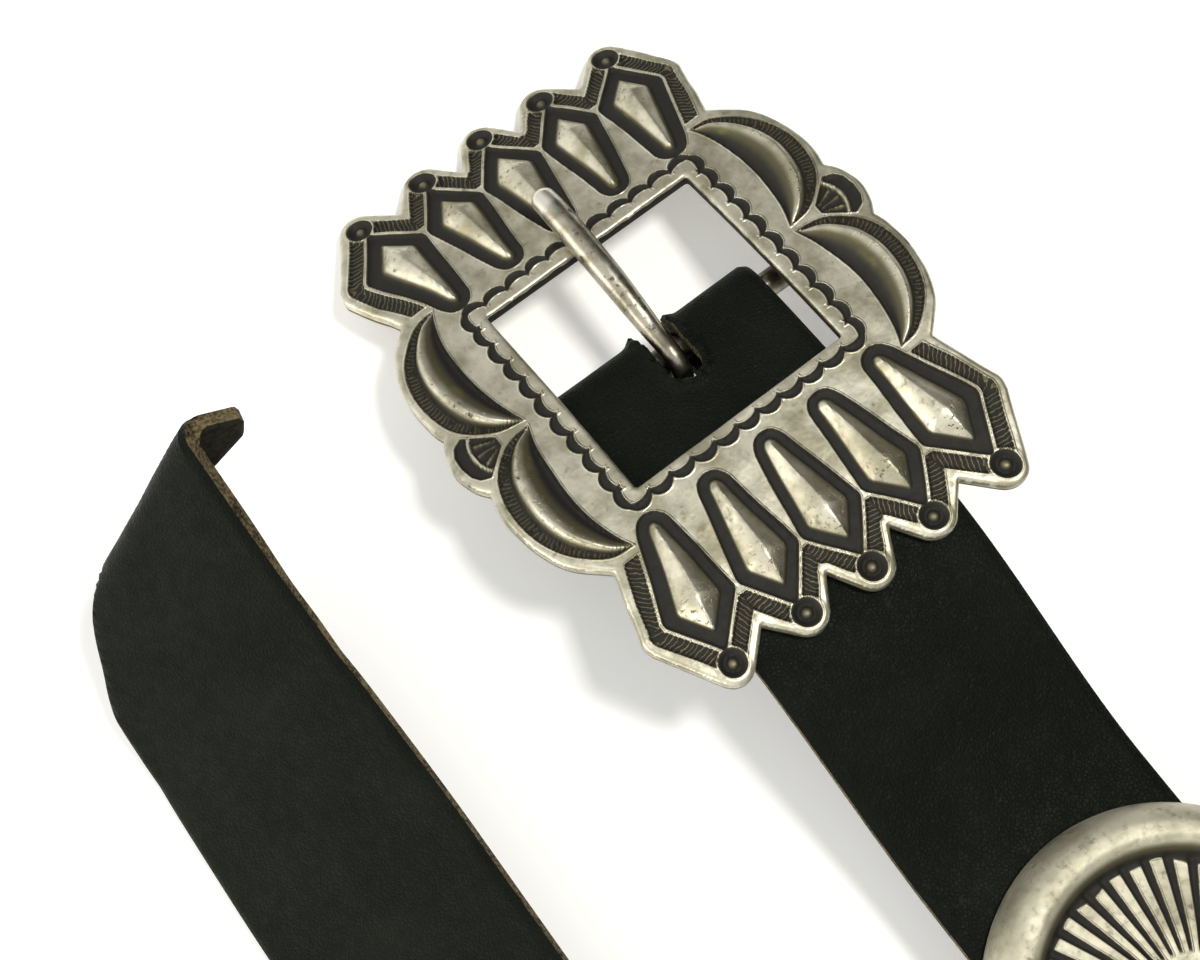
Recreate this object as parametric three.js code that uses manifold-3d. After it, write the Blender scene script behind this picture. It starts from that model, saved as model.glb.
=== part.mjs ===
import * as THREE from 'three';
import { mergeVertices } from 'three/addons/utils/BufferGeometryUtils.js';
import Module from 'manifold-3d';

// Concho belt: a leather strap with a stamped silver frame buckle and six domed oval conchos.
// It lies as a loop. The buckle's arm runs along -Y, the free arm comes back along +Y.
// Millimetres and degrees, +Z up, the surface it lies on at z = 0.

const RUNNING_GAP = 0.3;
const ROUND_SIDES = 10;

// Strap
const STRAP_WIDTH = 41.3;
const STRAP_THICKNESS = 2.6;
const STRAP_EDGE_BEVEL = 0.5;
const TAIL_LENGTH = 44;
const STRAP_SIDE_SHIFT = 2.6;
const STEP_ALONG_STRAP = 10;
const CORNER_TURN_OUT = 90;
const CORNER_TURN_BACK = 98;
const ARM_STRAIGHTEN = 6.6;
const ARM_STRAIGHTEN_LENGTH = 70;

// Curl at the free tip: a cone, tight at the raised edge and open at the low edge,
// whose low edge is cut back to a point
const CURL_RADIUS_RAISED = 2.2;
const CURL_RADIUS_LOW = 3.3;
const CURL_ANGLE = 133.7;
const CURL_SKEW = 27.8;
const CURL_TAIL = 6.1;
const TIP_WIDTH = 4;
const TIP_TAPER_POWER = 1.2;

// Buckle plate
const PLATE_LENGTH = 111;
const PLATE_WIDTH = 81;
const PLATE_THICKNESS = 2.2;
const PLATE_BEND_RADIUS = 250;
const PLATE_PITCH = 15;
const WINDOW_LENGTH = 40;
const WINDOW_WIDTH = 40.6;
const LOBE_RADIUS = 3.6;
const PETAL_HEIGHT = 2.8;
const PETAL_WINDOW_MARGIN = 5.6;
const PETAL_LOBE_MARGIN = 5.4;
const CRESCENT_HEIGHT = 2.4;
const FAN_HEIGHT = 0.9;
const RELIEF_ROOT = 0.7;

// Bar across the window's back
const BAR_DIAMETER = 4.5;
const BAR_ALONG = -1.6;
const BAR_DROP = PLATE_THICKNESS + 2 * RUNNING_GAP + STRAP_THICKNESS + BAR_DIAMETER / 2;
const BAR_SOLDER_MARGIN = 6;

// Prong
const PRONG_DIAMETER = 4.3;
const PRONG_EYE_DIAMETER = 3.4;
const PRONG_TIP_DIAMETER = 3.6;
const PRONG_REACH_PAST_WINDOW = 10;
const PRONG_SIDE_SHIFT = 1;
const SLOT_SIDE_CLEARANCE = 0.6;
const SLOT_REAR_CLEARANCE = 1.3;

// Conchos
const CONCHO_LENGTH = 66;
const CONCHO_WIDTH = 62;
const CONCHO_HEIGHT = 7.5;
const CONCHO_SHEET = 1.3;
const CONCHO_PITCH = 110;
const CONCHO_COUNT = 6;
const FIRST_CONCHO_FROM_BAR = 129;
const CORNER_LENGTH = 42;
const CONCHO_SEAT_GAP = 0.5;
const LOOP_STRIP_WIDTH = 14;
const LOOP_STRIP_THICKNESS = 1.2;
const LOOP_SIDE_CLEARANCE = 0.5;

const radians = THREE.MathUtils.degToRad;
const lerp = THREE.MathUtils.lerp;
const clamp = THREE.MathUtils.clamp;

const halfPlateWidth = PLATE_WIDTH / 2;
const halfPlateLength = PLATE_LENGTH / 2;
const halfWindowWidth = WINDOW_WIDTH / 2;
const halfWindowLength = WINDOW_LENGTH / 2;
const halfThickness = STRAP_THICKNESS / 2;

// Lobes with a dot punch at both ends of the plate: shares of the half width and half length
const LOBES = [
  { name: 'middle', across: 0, along: 0.932 },
  { name: 'inner', across: 0.302, along: 0.923 },
  { name: 'corner', across: 0.64, along: 0.911 },
];
const LOBE_NOTCHES = [
  { between: 'middle_inner', across: 0.15, along: 0.87 },
  { between: 'inner_corner', across: 0.467, along: 0.879 },
];
// Outline from the corner lobe round to the side's middle, same shares
const SIDE_OUTLINE = [
  { name: 'shoulder_top', across: 0.852, along: 0.766 },
  { name: 'shoulder', across: 0.862, along: 0.729 },
  { name: 'shoulder_low', across: 0.841, along: 0.68 },
  { name: 'crescent_notch', across: 0.773, along: 0.516 },
  { name: 'crescent_start', across: 0.81, along: 0.49 },
  { name: 'crescent_upper', across: 0.889, along: 0.43 },
  { name: 'crescent_bulge', across: 0.941, along: 0.345 },
  { name: 'crescent_middle', across: 0.965, along: 0.25 },
  { name: 'crescent_lower', across: 0.961, along: 0.165 },
  { name: 'fan_notch', across: 0.946, along: 0.113 },
  { name: 'fan_upper', across: 0.979, along: 0.073 },
  { name: 'fan_round', across: 0.996, along: 0.03 },
];
// Petals: place of the inner end, widest line and outer tip, and the half width
const PETALS = [
  { name: 'middle', innerAcross: 0, wideAcross: 0, tipAcross: 0, halfWidth: 3.9 },
  { name: 'inner', innerAcross: 0.265, wideAcross: 0.292, tipAcross: 0.304, halfWidth: 3.8 },
  { name: 'corner', innerAcross: 0.522, wideAcross: 0.598, tipAcross: 0.618, halfWidth: 4 },
];
// Cross rows of a petal: share of its length from the inner end, of its half width and of its height
const PETAL_ROWS = [
  { at: 0, width: 0.12, height: 0.05 },
  { at: 0.07, width: 0.38, height: 0.42 },
  { at: 0.35, width: 0.66, height: 0.68 },
  { at: 0.62, width: 0.9, height: 0.9 },
  { at: 0.74, width: 1, height: 1 },
  { at: 0.88, width: 0.52, height: 0.62 },
  { at: 1, width: 0.06, height: 0.05 },
];
// Crescents beside the window: shares of the half width and half length
const CRESCENT = { tipAcross: 0.655, farAlong: 0.478, nearAlong: 0.014, innerBulge: 0.1, outerBulge: 0.24 };
const FAN = { centreAcross: 0.885, length: 0.15, spread: 0.075 };

// Cross-section of a concho from its middle to its rim: share of the radius and of the height
const CONCHO_PROFILE = [
  { out: 0, up: 0.86 },
  { out: 0.32, up: 0.84 },
  { out: 0.68, up: 0.6 },
  { out: 0.735, up: 0.56 },
  { out: 0.8, up: 0.9 },
  { out: 0.855, up: 1 },
  { out: 0.92, up: 0.82 },
  { out: 0.975, up: 0.42 },
  { out: 1, up: 0.12 },
];

// How the strap lies past the first concho: place in concho pitches, lean of the face
// off level, and lift above resting height as a share of the strap's width
const LIE = [
  { at: 0, lean: 2, lift: 0.33, concho: true },
  { at: 1, lean: 36, lift: 0.02, concho: true },
  { at: 2, lean: 76, lift: 0.005, concho: true },
  { at: 3, lean: 90, lift: 0, concho: true },
  { at: 4, lean: 74, lift: 0, concho: true },
  { at: 5, lean: 36, lift: 0.01, concho: true },
  { at: 6.3, lean: 29, lift: 0, concho: false },
  { at: 6.8, lean: 29, lift: 0.01, concho: false },
  { at: 7.05, lean: 32.7, lift: 0, concho: false },
  { at: 7.22, lean: 37.9, lift: 0.038, concho: false },
  { at: 7.273, lean: 36.7, lift: 0.184, concho: false },
];

const wasm = await Module();
wasm.setup();

/** Turns a closed geometry into a solid that can be joined and cut. */
function toSolid(geometry) {
  const plain = geometry.clone();
  plain.deleteAttribute('normal');
  plain.deleteAttribute('uv');
  const merged = mergeVertices(plain, 1e-4);
  const vertProperties = new Float32Array(merged.attributes.position.array);
  const triVerts = new Uint32Array(merged.index.array);
  return new wasm.Manifold(new wasm.Mesh({ numProp: 3, vertProperties, triVerts }));
}

/** Turns a solid back into a geometry. */
function toGeometry(solid) {
  const mesh = solid.getMesh();
  const geometry = new THREE.BufferGeometry();
  geometry.setAttribute('position', new THREE.BufferAttribute(new Float32Array(mesh.vertProperties), 3));
  geometry.setIndex(new THREE.BufferAttribute(new Uint32Array(mesh.triVerts), 1));
  geometry.computeVertexNormals();
  return geometry;
}

/** Joins a list of closed geometries into one. */
function join(geometries) {
  const solids = geometries.map(toSolid);
  return toGeometry(solids.slice(1).reduce((sum, solid) => sum.add(solid), solids[0]));
}

/** Cuts closed geometries out of another. */
function cut(geometry, cutters) {
  return toGeometry(cutters.map(toSolid).reduce((rest, solid) => rest.subtract(solid), toSolid(geometry)));
}

/** Closed skin over a row of equal-sized rings of points, capped by a fan at both ends. */
function loft(rings) {
  const size = rings[0].length;
  const positions = rings.flat().flatMap((point) => [point.x, point.y, point.z]);
  const index = [];
  for (let r = 0; r + 1 < rings.length; r += 1) {
    for (let i = 0; i < size; i += 1) {
      const a = r * size + i;
      const b = r * size + ((i + 1) % size);
      index.push(a, b, b + size, a, b + size, a + size);
    }
  }
  const last = (rings.length - 1) * size;
  for (let i = 1; i + 1 < size; i += 1) {
    index.push(0, i + 1, i);
    index.push(last, last + i, last + i + 1);
  }
  const geometry = new THREE.BufferGeometry();
  geometry.setAttribute('position', new THREE.Float32BufferAttribute(positions, 3));
  geometry.setIndex(index);
  geometry.computeVertexNormals();
  return geometry;
}

/** Slope-limited cubic through knots {at, value}: smooth, with no overshoot between knots. */
function smoothTable(knots) {
  const slopes = knots.slice(1).map((knot, i) => (knot.value - knots[i].value) / (knot.at - knots[i].at));
  const tangents = knots.map((knot, i) => {
    const before = slopes[Math.max(i - 1, 0)];
    const after = slopes[Math.min(i, slopes.length - 1)];
    return before * after <= 0 ? 0 : (2 * before * after) / (before + after);
  });
  return (at) => {
    const last = knots.length - 2;
    const found = knots.findIndex((knot) => knot.at > at) - 1;
    const i = at <= knots[0].at ? 0 : found < 0 ? last : Math.min(found, last);
    const span = knots[i + 1].at - knots[i].at;
    const t = clamp((at - knots[i].at) / span, 0, 1);
    const basis = [2 * t ** 3 - 3 * t ** 2 + 1, t ** 3 - 2 * t ** 2 + t, 3 * t ** 2 - 2 * t ** 3, t ** 3 - t ** 2];
    return basis[0] * knots[i].value + basis[1] * span * tangents[i]
      + basis[2] * knots[i + 1].value + basis[3] * span * tangents[i + 1];
  };
}

// The buckle's own frame: x across, y along its length, z out of its face, bent round an axis along x

/** Point on the bent plate at a flat place and a height over the front face. */
function onPlate(x, y, height) {
  const angle = y / PLATE_BEND_RADIUS;
  const radius = PLATE_BEND_RADIUS + height;
  return new THREE.Vector3(x, radius * Math.sin(angle), radius * Math.cos(angle) - PLATE_BEND_RADIUS);
}

/** Height of the plate's front face in the buckle's frame, over a place y. */
function plateFront(y) {
  return Math.sqrt(PLATE_BEND_RADIUS ** 2 - y ** 2) - PLATE_BEND_RADIUS;
}

const lobeCentres = LOBES.map((lobe) => new THREE.Vector2(lobe.across * halfPlateWidth, lobe.along * halfPlateLength));
const lobeNotches = LOBE_NOTCHES.map(
  (notch) => new THREE.Vector2(notch.across * halfPlateWidth, notch.along * halfPlateLength),
);
const sidePoints = SIDE_OUTLINE.map(
  (point) => new THREE.Vector2(point.across * halfPlateWidth, point.along * halfPlateLength),
);

/** Angle at which a straight edge from an outside point touches a lobe, on its left or right. */
function touchAngle(centre, point, side) {
  const toPoint = new THREE.Vector2().subVectors(point, centre);
  const reach = clamp(LOBE_RADIUS / toPoint.length(), -1, 1);
  return toPoint.angle() + side * Math.acos(reach);
}

/** Points round a lobe's outer edge, clockwise between two angles. */
function lobeArc(centre, from, to, steps) {
  return Array.from({ length: steps + 1 }, (_, i) => {
    const angle = lerp(from, to, i / steps);
    return new THREE.Vector2(
      centre.x + LOBE_RADIUS * Math.cos(angle),
      centre.y + LOBE_RADIUS * Math.sin(angle),
    );
  });
}

/** One quarter of the plate's outline, from the middle of the end round to the middle of the side. */
function quarterOutline() {
  const [middle, inner, corner] = lobeCentres;
  const [firstNotch, secondNotch] = lobeNotches;
  const unwrap = (angle) => (angle > Math.PI ? angle - 2 * Math.PI : angle);
  const leave = (centre, point) => unwrap(touchAngle(centre, point, 1));
  const meet = (centre, point) => {
    const angle = unwrap(touchAngle(centre, point, -1));
    return angle < 0 ? angle + 2 * Math.PI : angle;
  };
  return [
    ...lobeArc(middle, Math.PI / 2, leave(middle, firstNotch), 4),
    firstNotch,
    ...lobeArc(inner, meet(inner, firstNotch), leave(inner, secondNotch), 7),
    secondNotch,
    ...lobeArc(corner, meet(corner, secondNotch), leave(corner, sidePoints[0]), 7),
    ...sidePoints,
  ];
}

/** Whole outline, mirrored from the quarter, anticlockwise, as seen along the plate's straight projection. */
function plateOutline() {
  const quarter = quarterOutline();
  const sideMiddle = new THREE.Vector2(halfPlateWidth, 0);
  const right = [...quarter, sideMiddle, ...quarter.map((p) => new THREE.Vector2(p.x, -p.y)).reverse()];
  const left = right.slice(1, -1).map((p) => new THREE.Vector2(-p.x, p.y)).reverse();
  return [...right, ...left].reverse().map((p) => {
    const projected = onPlate(p.x, p.y, -PLATE_THICKNESS / 2);
    return new THREE.Vector2(projected.x, projected.y);
  });
}

/** Bent sheet larger than the plate, from which the outline is cut. */
function bentSheet() {
  const reach = halfPlateLength + LOBE_RADIUS;
  const steps = 22;
  const rings = Array.from({ length: steps + 1 }, (_, i) => {
    const y = lerp(-reach, reach, i / steps);
    return [
      onPlate(-PLATE_WIDTH, y, -PLATE_THICKNESS),
      onPlate(-PLATE_WIDTH, y, 0),
      onPlate(PLATE_WIDTH, y, 0),
      onPlate(PLATE_WIDTH, y, -PLATE_THICKNESS),
    ];
  });
  return loft(rings);
}

/** Raised cushion on the plate over a grid: place(t, v) gives {x, y, height}, v runs -1 to 1 across. */
function reliefSolid(rows, columns, place) {
  const point = (r, c, top) => {
    const spot = place(r / rows, (2 * c) / columns - 1);
    return onPlate(spot.x, spot.y, top ? spot.height : -RELIEF_ROOT);
  };
  const rings = Array.from({ length: rows + 1 }, (_, r) => {
    const top = Array.from({ length: columns + 1 }, (__, c) => point(r, c, true));
    const bottom = Array.from({ length: columns + 1 }, (__, c) => point(r, columns - c, false));
    return [...top, ...bottom];
  });
  return loft(rings);
}

/** The same closed skin with its faces turned outward. */
function outward(geometry) {
  const solid = toSolid(geometry);
  if (solid.volume() > 0) return geometry;
  const flipped = geometry.clone();
  const index = Array.from(geometry.index.array);
  for (let i = 0; i < index.length; i += 3) {
    [index[i + 1], index[i + 2]] = [index[i + 2], index[i + 1]];
  }
  flipped.setIndex(index);
  flipped.computeVertexNormals();
  return flipped;
}

/** Repousse petal from its inner end by the window to its outer tip by a lobe. */
function petal(row, lobe, signX, signY) {
  const inner = halfWindowLength + PETAL_WINDOW_MARGIN;
  const tip = lobe.along * halfPlateLength - PETAL_LOBE_MARGIN;
  const across = smoothTable([
    { at: 0, value: row.innerAcross * halfPlateWidth },
    { at: 0.74, value: row.wideAcross * halfPlateWidth },
    { at: 1, value: row.tipAcross * halfPlateWidth },
  ]);
  const place = (t, v) => {
    const section = PETAL_ROWS[Math.round(t * (PETAL_ROWS.length - 1))];
    const x = across(section.at) + v * section.width * row.halfWidth;
    return {
      x: signX * x,
      y: signY * lerp(inner, tip, section.at),
      height: PETAL_HEIGHT * section.height * (1 - 0.92 * Math.abs(v) ** 1.5) + 0.02,
    };
  };
  return outward(reliefSolid(PETAL_ROWS.length - 1, 4, place));
}

/** Repousse crescent beside the window. */
function crescent(signX, signY) {
  const far = CRESCENT.farAlong * halfPlateLength;
  const near = CRESCENT.nearAlong * halfPlateLength;
  const place = (t, v) => {
    const swell = Math.sin(Math.PI * clamp(t, 0.04, 0.96));
    const bulge = lerp(CRESCENT.innerBulge, CRESCENT.outerBulge, (v + 1) / 2);
    return {
      x: signX * halfPlateWidth * (CRESCENT.tipAcross + bulge * swell),
      y: signY * lerp(far, near, t),
      height: CRESCENT_HEIGHT * swell * (1 - 0.95 * Math.abs(v) ** 1.6) + 0.02,
    };
  };
  return outward(reliefSolid(9, 4, place));
}

/** Small fan in the notch between two crescents. */
function fan(signX) {
  const place = (t, v) => ({
    x: signX * halfPlateWidth * (FAN.centreAcross + FAN.length * (t - 0.55) * (1 - 0.15 * v * v)),
    y: halfPlateLength * FAN.spread * v * lerp(0.15, 1, t),
    height: FAN_HEIGHT * lerp(0.5, 1, t) * (1 - 0.6 * v * v),
  });
  return outward(reliefSolid(3, 4, place));
}

/** Round rod or wire along a path, with a radius for each path point. */
function wire(points, radiusAt) {
  const across = new THREE.Vector3(1, 0, 0);
  const rings = points.map((point, i) => {
    const before = points[Math.max(i - 1, 0)];
    const after = points[Math.min(i + 1, points.length - 1)];
    const along = new THREE.Vector3().subVectors(after, before).normalize();
    const side = Math.abs(along.x) > 0.9 ? new THREE.Vector3(0, 1, 0) : across.clone();
    side.addScaledVector(along, -side.dot(along)).normalize();
    const up = new THREE.Vector3().crossVectors(along, side);
    return Array.from({ length: ROUND_SIDES }, (_, k) => {
      const angle = (2 * Math.PI * k) / ROUND_SIDES;
      return point.clone()
        .addScaledVector(side, radiusAt(i) * Math.cos(angle))
        .addScaledVector(up, radiusAt(i) * Math.sin(angle));
    });
  });
  return outward(loft(rings));
}

/** Straight bar behind the window, with its ends turned up and soldered to the plate's back. */
function bar() {
  const ends = halfWindowWidth + BAR_SOLDER_MARGIN;
  const rise = BAR_DROP - PLATE_THICKNESS / 2;
  const bend = BAR_DIAMETER / 2;
  const half = [
    { x: 0, z: 0 },
    { x: ends - bend, z: 0 },
    { x: ends - 0.3 * bend, z: 0.3 * bend },
    { x: ends, z: bend },
    { x: ends, z: rise },
  ];
  const toPoint = (side) => (p) => new THREE.Vector3(side * p.x, BAR_ALONG, p.z - BAR_DROP);
  const points = [...half.slice(1).map(toPoint(-1)).reverse(), ...half.slice(1).map(toPoint(1))];
  const yAxis = new THREE.Vector3(0, 1, 0);
  const rings = points.map((point, i) => {
    const before = points[Math.max(i - 1, 0)];
    const after = points[Math.min(i + 1, points.length - 1)];
    const along = new THREE.Vector3().subVectors(after, before).normalize();
    const up = new THREE.Vector3().crossVectors(along, yAxis);
    return Array.from({ length: ROUND_SIDES }, (_, k) => {
      const angle = (2 * Math.PI * k) / ROUND_SIDES;
      return point.clone()
        .addScaledVector(yAxis, (BAR_DIAMETER / 2) * Math.cos(angle))
        .addScaledVector(up, (BAR_DIAMETER / 2) * Math.sin(angle));
    });
  });
  return outward(loft(rings));
}

/** Buckle: bent plate with its window, raised relief and soldered bar, one solid. */
function buckleFrame() {
  const shape = new THREE.Shape(plateOutline());
  const window = [[-1, -1], [-1, 1], [1, 1], [1, -1]].map(
    ([sx, sy]) => new THREE.Vector2(sx * halfWindowWidth, sy * halfWindowLength),
  );
  shape.holes.push(new THREE.Path(window));
  const depth = 4 * (PLATE_THICKNESS - plateFront(halfPlateLength));
  const prism = new THREE.ExtrudeGeometry(shape, { depth, bevelEnabled: false, steps: 1 });
  prism.translate(0, 0, -depth / 2);
  const plate = toGeometry(toSolid(outward(bentSheet())).intersect(toSolid(prism)));
  const relief = [];
  for (const signY of [-1, 1]) {
    PETALS.forEach((row, i) => {
      relief.push(petal(row, LOBES[i], 1, signY));
      if (row.wideAcross > 0) relief.push(petal(row, LOBES[i], -1, signY));
    });
    relief.push(crescent(1, signY), crescent(-1, signY));
  }
  relief.push(fan(1), fan(-1));
  return join([plate, ...relief, bar()]);
}

// The prong in the buckle's frame: a hooked eye round the bar, then a shank that rests over the plate

const eyeRadius = BAR_DIAMETER / 2 + RUNNING_GAP + PRONG_EYE_DIAMETER / 2;
const prongTipAlong = halfWindowLength + PRONG_REACH_PAST_WINDOW;

/** Lowest height of the prong's centre line where it passes over the plate and the middle petal. */
function prongRest(y, radius) {
  const boss = PETAL_HEIGHT * 0.72 * THREE.MathUtils.smoothstep(y, halfWindowLength + 3, halfWindowLength + 8);
  return plateFront(y) + boss + RUNNING_GAP + radius;
}

/** Wire from the hook's free end round the bar to the rounded tip. */
function prong() {
  const eye = Array.from({ length: 11 }, (_, i) => {
    const angle = radians(lerp(-50, -270, i / 10));
    return new THREE.Vector3(
      -PRONG_SIDE_SHIFT,
      BAR_ALONG + eyeRadius * Math.cos(angle),
      -BAR_DROP + eyeRadius * Math.sin(angle),
    );
  });
  const tipRadius = PRONG_TIP_DIAMETER / 2;
  const shankRadius = PRONG_DIAMETER / 2;
  const topOfEye = -BAR_DROP + eyeRadius;
  const rest = prongRest(halfWindowLength, shankRadius);
  const end = prongRest(prongTipAlong, tipRadius);
  const shank = [
    { along: 0.1, height: topOfEye + 0.12 * (rest - topOfEye) },
    { along: 0.25, height: lerp(topOfEye, rest, 0.4) },
    { along: 0.45, height: lerp(topOfEye, rest, 0.76) },
    { along: 0.7, height: rest + 0.15 },
    { along: 0.86, height: lerp(rest, end, 0.6) + 0.25 },
    { along: 0.97, height: end },
    { along: 1, height: end - 0.1 },
  ].map((row) => new THREE.Vector3(-PRONG_SIDE_SHIFT, lerp(BAR_ALONG, prongTipAlong, row.along), row.height));
  const points = [...eye, ...shank];
  const growth = [0.15, 0.55, 0.9, 1, 1];
  const radiusAt = (i) => {
    if (i < eye.length) return PRONG_EYE_DIAMETER / 2;
    const k = i - eye.length;
    if (i === points.length - 1) return tipRadius * 0.55;
    if (i === points.length - 2) return tipRadius;
    return lerp(PRONG_EYE_DIAMETER / 2, shankRadius, growth[Math.min(k, growth.length - 1)]);
  };
  return wire(points, radiusAt);
}

// The strap's centre surface: a route seen from above, with a height and a lean along it

const buckleFrameMatrix = new THREE.Matrix4();
const lowCorner = onPlate(0, lobeCentres[0].y + LOBE_RADIUS, -PLATE_THICKNESS);
const pitch = radians(PLATE_PITCH);
const buckleHeight = lowCorner.y * Math.sin(pitch) - lowCorner.z * Math.cos(pitch);
buckleFrameMatrix.makeRotationX(-pitch);
buckleFrameMatrix.setPosition(0, 0, buckleHeight);

/** Place of a point of the buckle's frame where the belt lies. */
function fromBuckle(y, z) {
  return new THREE.Vector3(0, y, z).applyMatrix4(buckleFrameMatrix);
}

const foldRadius = BAR_DIAMETER / 2 + RUNNING_GAP + halfThickness;
const barPlace = fromBuckle(BAR_ALONG, -BAR_DROP);
const strapAtBar = barPlace.clone().setX(-STRAP_SIDE_SHIFT);

/** Height of the strap's upper layer in the buckle's frame: over the bar, then under the plate. */
function upperLayer(y) {
  const overBar = -BAR_DROP + foldRadius;
  const underPlate = plateFront(y) - PLATE_THICKNESS - 2 * RUNNING_GAP - halfThickness;
  const blend = THREE.MathUtils.smoothstep(BAR_ALONG - y, 0, halfWindowLength + BAR_ALONG);
  return lerp(overBar, Math.min(underPlate, overBar), blend);
}

const conchoSeat = CONCHO_PITCH - CORNER_LENGTH;
const lieStart = FIRST_CONCHO_FROM_BAR;
const placeAt = (pitches) => lieStart + pitches * CONCHO_PITCH;
const CORNER_AFTER = 2;
const firstCorner = placeAt(CORNER_AFTER) + conchoSeat / 2;
const secondCorner = firstCorner + CORNER_LENGTH + conchoSeat;
const armStart = placeAt(CONCHO_COUNT - 1) + conchoSeat / 2;
const sheetStart = placeAt(LIE[LIE.length - 1].at);

/** Heading of the route from -Y, clockwise seen from above, at a distance from the bar. */
function turnAt(s) {
  const out = clamp((s - firstCorner) / CORNER_LENGTH, 0, 1) * CORNER_TURN_OUT;
  const back = clamp((s - secondCorner) / CORNER_LENGTH, 0, 1) * CORNER_TURN_BACK;
  const straighten = clamp((s - armStart) / ARM_STRAIGHTEN_LENGTH, 0, 1) * ARM_STRAIGHTEN;
  return radians(out + back - straighten);
}

/** Route seen from above, stepped finely once and read by distance. */
const planStep = 0.5;
const plan = [new THREE.Vector2(-STRAP_SIDE_SHIFT, barPlace.y)];
for (let s = 0; s < sheetStart + STRAP_WIDTH; s += planStep) {
  const turn = turnAt(s + planStep / 2);
  const last = plan[plan.length - 1];
  plan.push(new THREE.Vector2(last.x - planStep * Math.sin(turn), last.y - planStep * Math.cos(turn)));
}

/** Point of the route seen from above. */
function planAt(s) {
  const place = clamp(s / planStep, 0, plan.length - 1.001);
  const i = Math.floor(place);
  return new THREE.Vector2().lerpVectors(plan[i], plan[i + 1], place - i);
}

/** Height at which a leaning strap, or its concho's rim, just rests on the surface. */
function restingHeight(row) {
  const lean = radians(row.lean);
  const halfWidth = row.concho ? CONCHO_WIDTH / 2 : STRAP_WIDTH / 2;
  const seat = row.concho ? -(halfThickness + CONCHO_SEAT_GAP) : halfThickness;
  return Math.max(
    halfWidth * Math.sin(lean) + seat * Math.cos(lean),
    (STRAP_WIDTH / 2) * Math.sin(lean) + halfThickness * Math.cos(lean),
  );
}

const underBuckle = [0, 0.12, 0.3, 0.5, 0.7, 0.85].map((share) => {
  const y = BAR_ALONG - share * (halfPlateLength + BAR_ALONG);
  const place = fromBuckle(y, upperLayer(y));
  return { at: barPlace.y - place.y, value: place.z, lean: 0 };
});
const overBarStart = underBuckle[0].at;

/** Knots of a value along the strap: held straight behind each concho, single elsewhere. */
function lieKnots(valueOf) {
  return LIE.flatMap((row) => {
    const place = placeAt(row.at);
    const value = valueOf(row);
    if (!row.concho) return [{ at: place, value }];
    return [{ at: place - conchoSeat / 2, value }, { at: place + conchoSeat / 2, value }];
  });
}

const heightKnots = lieKnots((row) => restingHeight(row) + row.lift * STRAP_WIDTH);
const leanKnots = lieKnots((row) => row.lean);
const heightAt = smoothTable([...underBuckle, ...heightKnots]);
const leanAt = smoothTable([{ at: 0, value: 0 }, { at: underBuckle[underBuckle.length - 1].at, value: 0 }, ...leanKnots]);

/** Frame of the strap at a distance from the bar: place, along, across (outer edge) and face. */
function frameAt(s) {
  const point = (at) => {
    const flat = planAt(at);
    return new THREE.Vector3(flat.x, flat.y, heightAt(at));
  };
  const place = point(s);
  const along = new THREE.Vector3().subVectors(point(s + 0.5), point(Math.max(s - 0.5, 0))).normalize();
  const level = new THREE.Vector3().crossVectors(new THREE.Vector3(0, 0, 1), along).normalize();
  const upright = new THREE.Vector3().crossVectors(along, level);
  const lean = radians(leanAt(s));
  const across = level.clone().multiplyScalar(Math.cos(lean)).addScaledVector(upright, -Math.sin(lean));
  const face = new THREE.Vector3().crossVectors(along, across);
  return { place, along, across, face };
}

// Curl at the tip, in the flat sheet's own plane: u along, w across towards the low outer edge
const skew = radians(CURL_SKEW);
const rulingLength = STRAP_WIDTH / Math.cos(skew);
const coneAngle = Math.atan((CURL_RADIUS_LOW - CURL_RADIUS_RAISED) / rulingLength);
const apexReach = CURL_RADIUS_RAISED / Math.tan(coneAngle);
const ruling = new THREE.Vector2(-Math.sin(skew), Math.cos(skew));
const pastRuling = new THREE.Vector2(Math.cos(skew), Math.sin(skew));
const curlStart = (STRAP_WIDTH / 2) * Math.tan(skew) + 1;
const raisedCorner = new THREE.Vector2(curlStart + (STRAP_WIDTH / 2) * Math.tan(skew), -STRAP_WIDTH / 2);
const apex = raisedCorner.clone().addScaledVector(ruling, -apexReach);
const wrapLimit = radians(CURL_ANGLE) * Math.sin(coneAngle);
const sheetEnd = raisedCorner.x + radians(CURL_ANGLE) * CURL_RADIUS_RAISED + CURL_TAIL;

/** Place across the sheet once its low edge is cut back to a point on the raised side. */
function taper(u, w) {
  const lost = (STRAP_WIDTH - TIP_WIDTH) * Math.max(u / sheetEnd, 0) ** TIP_TAPER_POWER;
  return lerp(-STRAP_WIDTH / 2, STRAP_WIDTH / 2 - lost, w / STRAP_WIDTH + 0.5);
}

/** Place in the sheet's frame of a point u along, w across and n off the sheet, once curled. */
function curl(u, w, n) {
  const flat = new THREE.Vector2(u, w).sub(apex);
  const reach = flat.length();
  const angle = Math.atan2(flat.dot(pastRuling), flat.dot(ruling));
  const wrapped = clamp(angle, 0, wrapLimit);
  const rest = angle - wrapped;
  const inPlane = ruling.clone().multiplyScalar(Math.cos(rest)).addScaledVector(pastRuling, Math.sin(rest));
  const axis = new THREE.Vector3(ruling.x * Math.cos(coneAngle), ruling.y * Math.cos(coneAngle), -Math.sin(coneAngle));
  const turn = wrapped / Math.sin(coneAngle);
  const place = new THREE.Vector3(inPlane.x * reach, inPlane.y * reach, n).applyAxisAngle(axis, turn);
  return place.add(new THREE.Vector3(apex.x, apex.y, 0));
}

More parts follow.
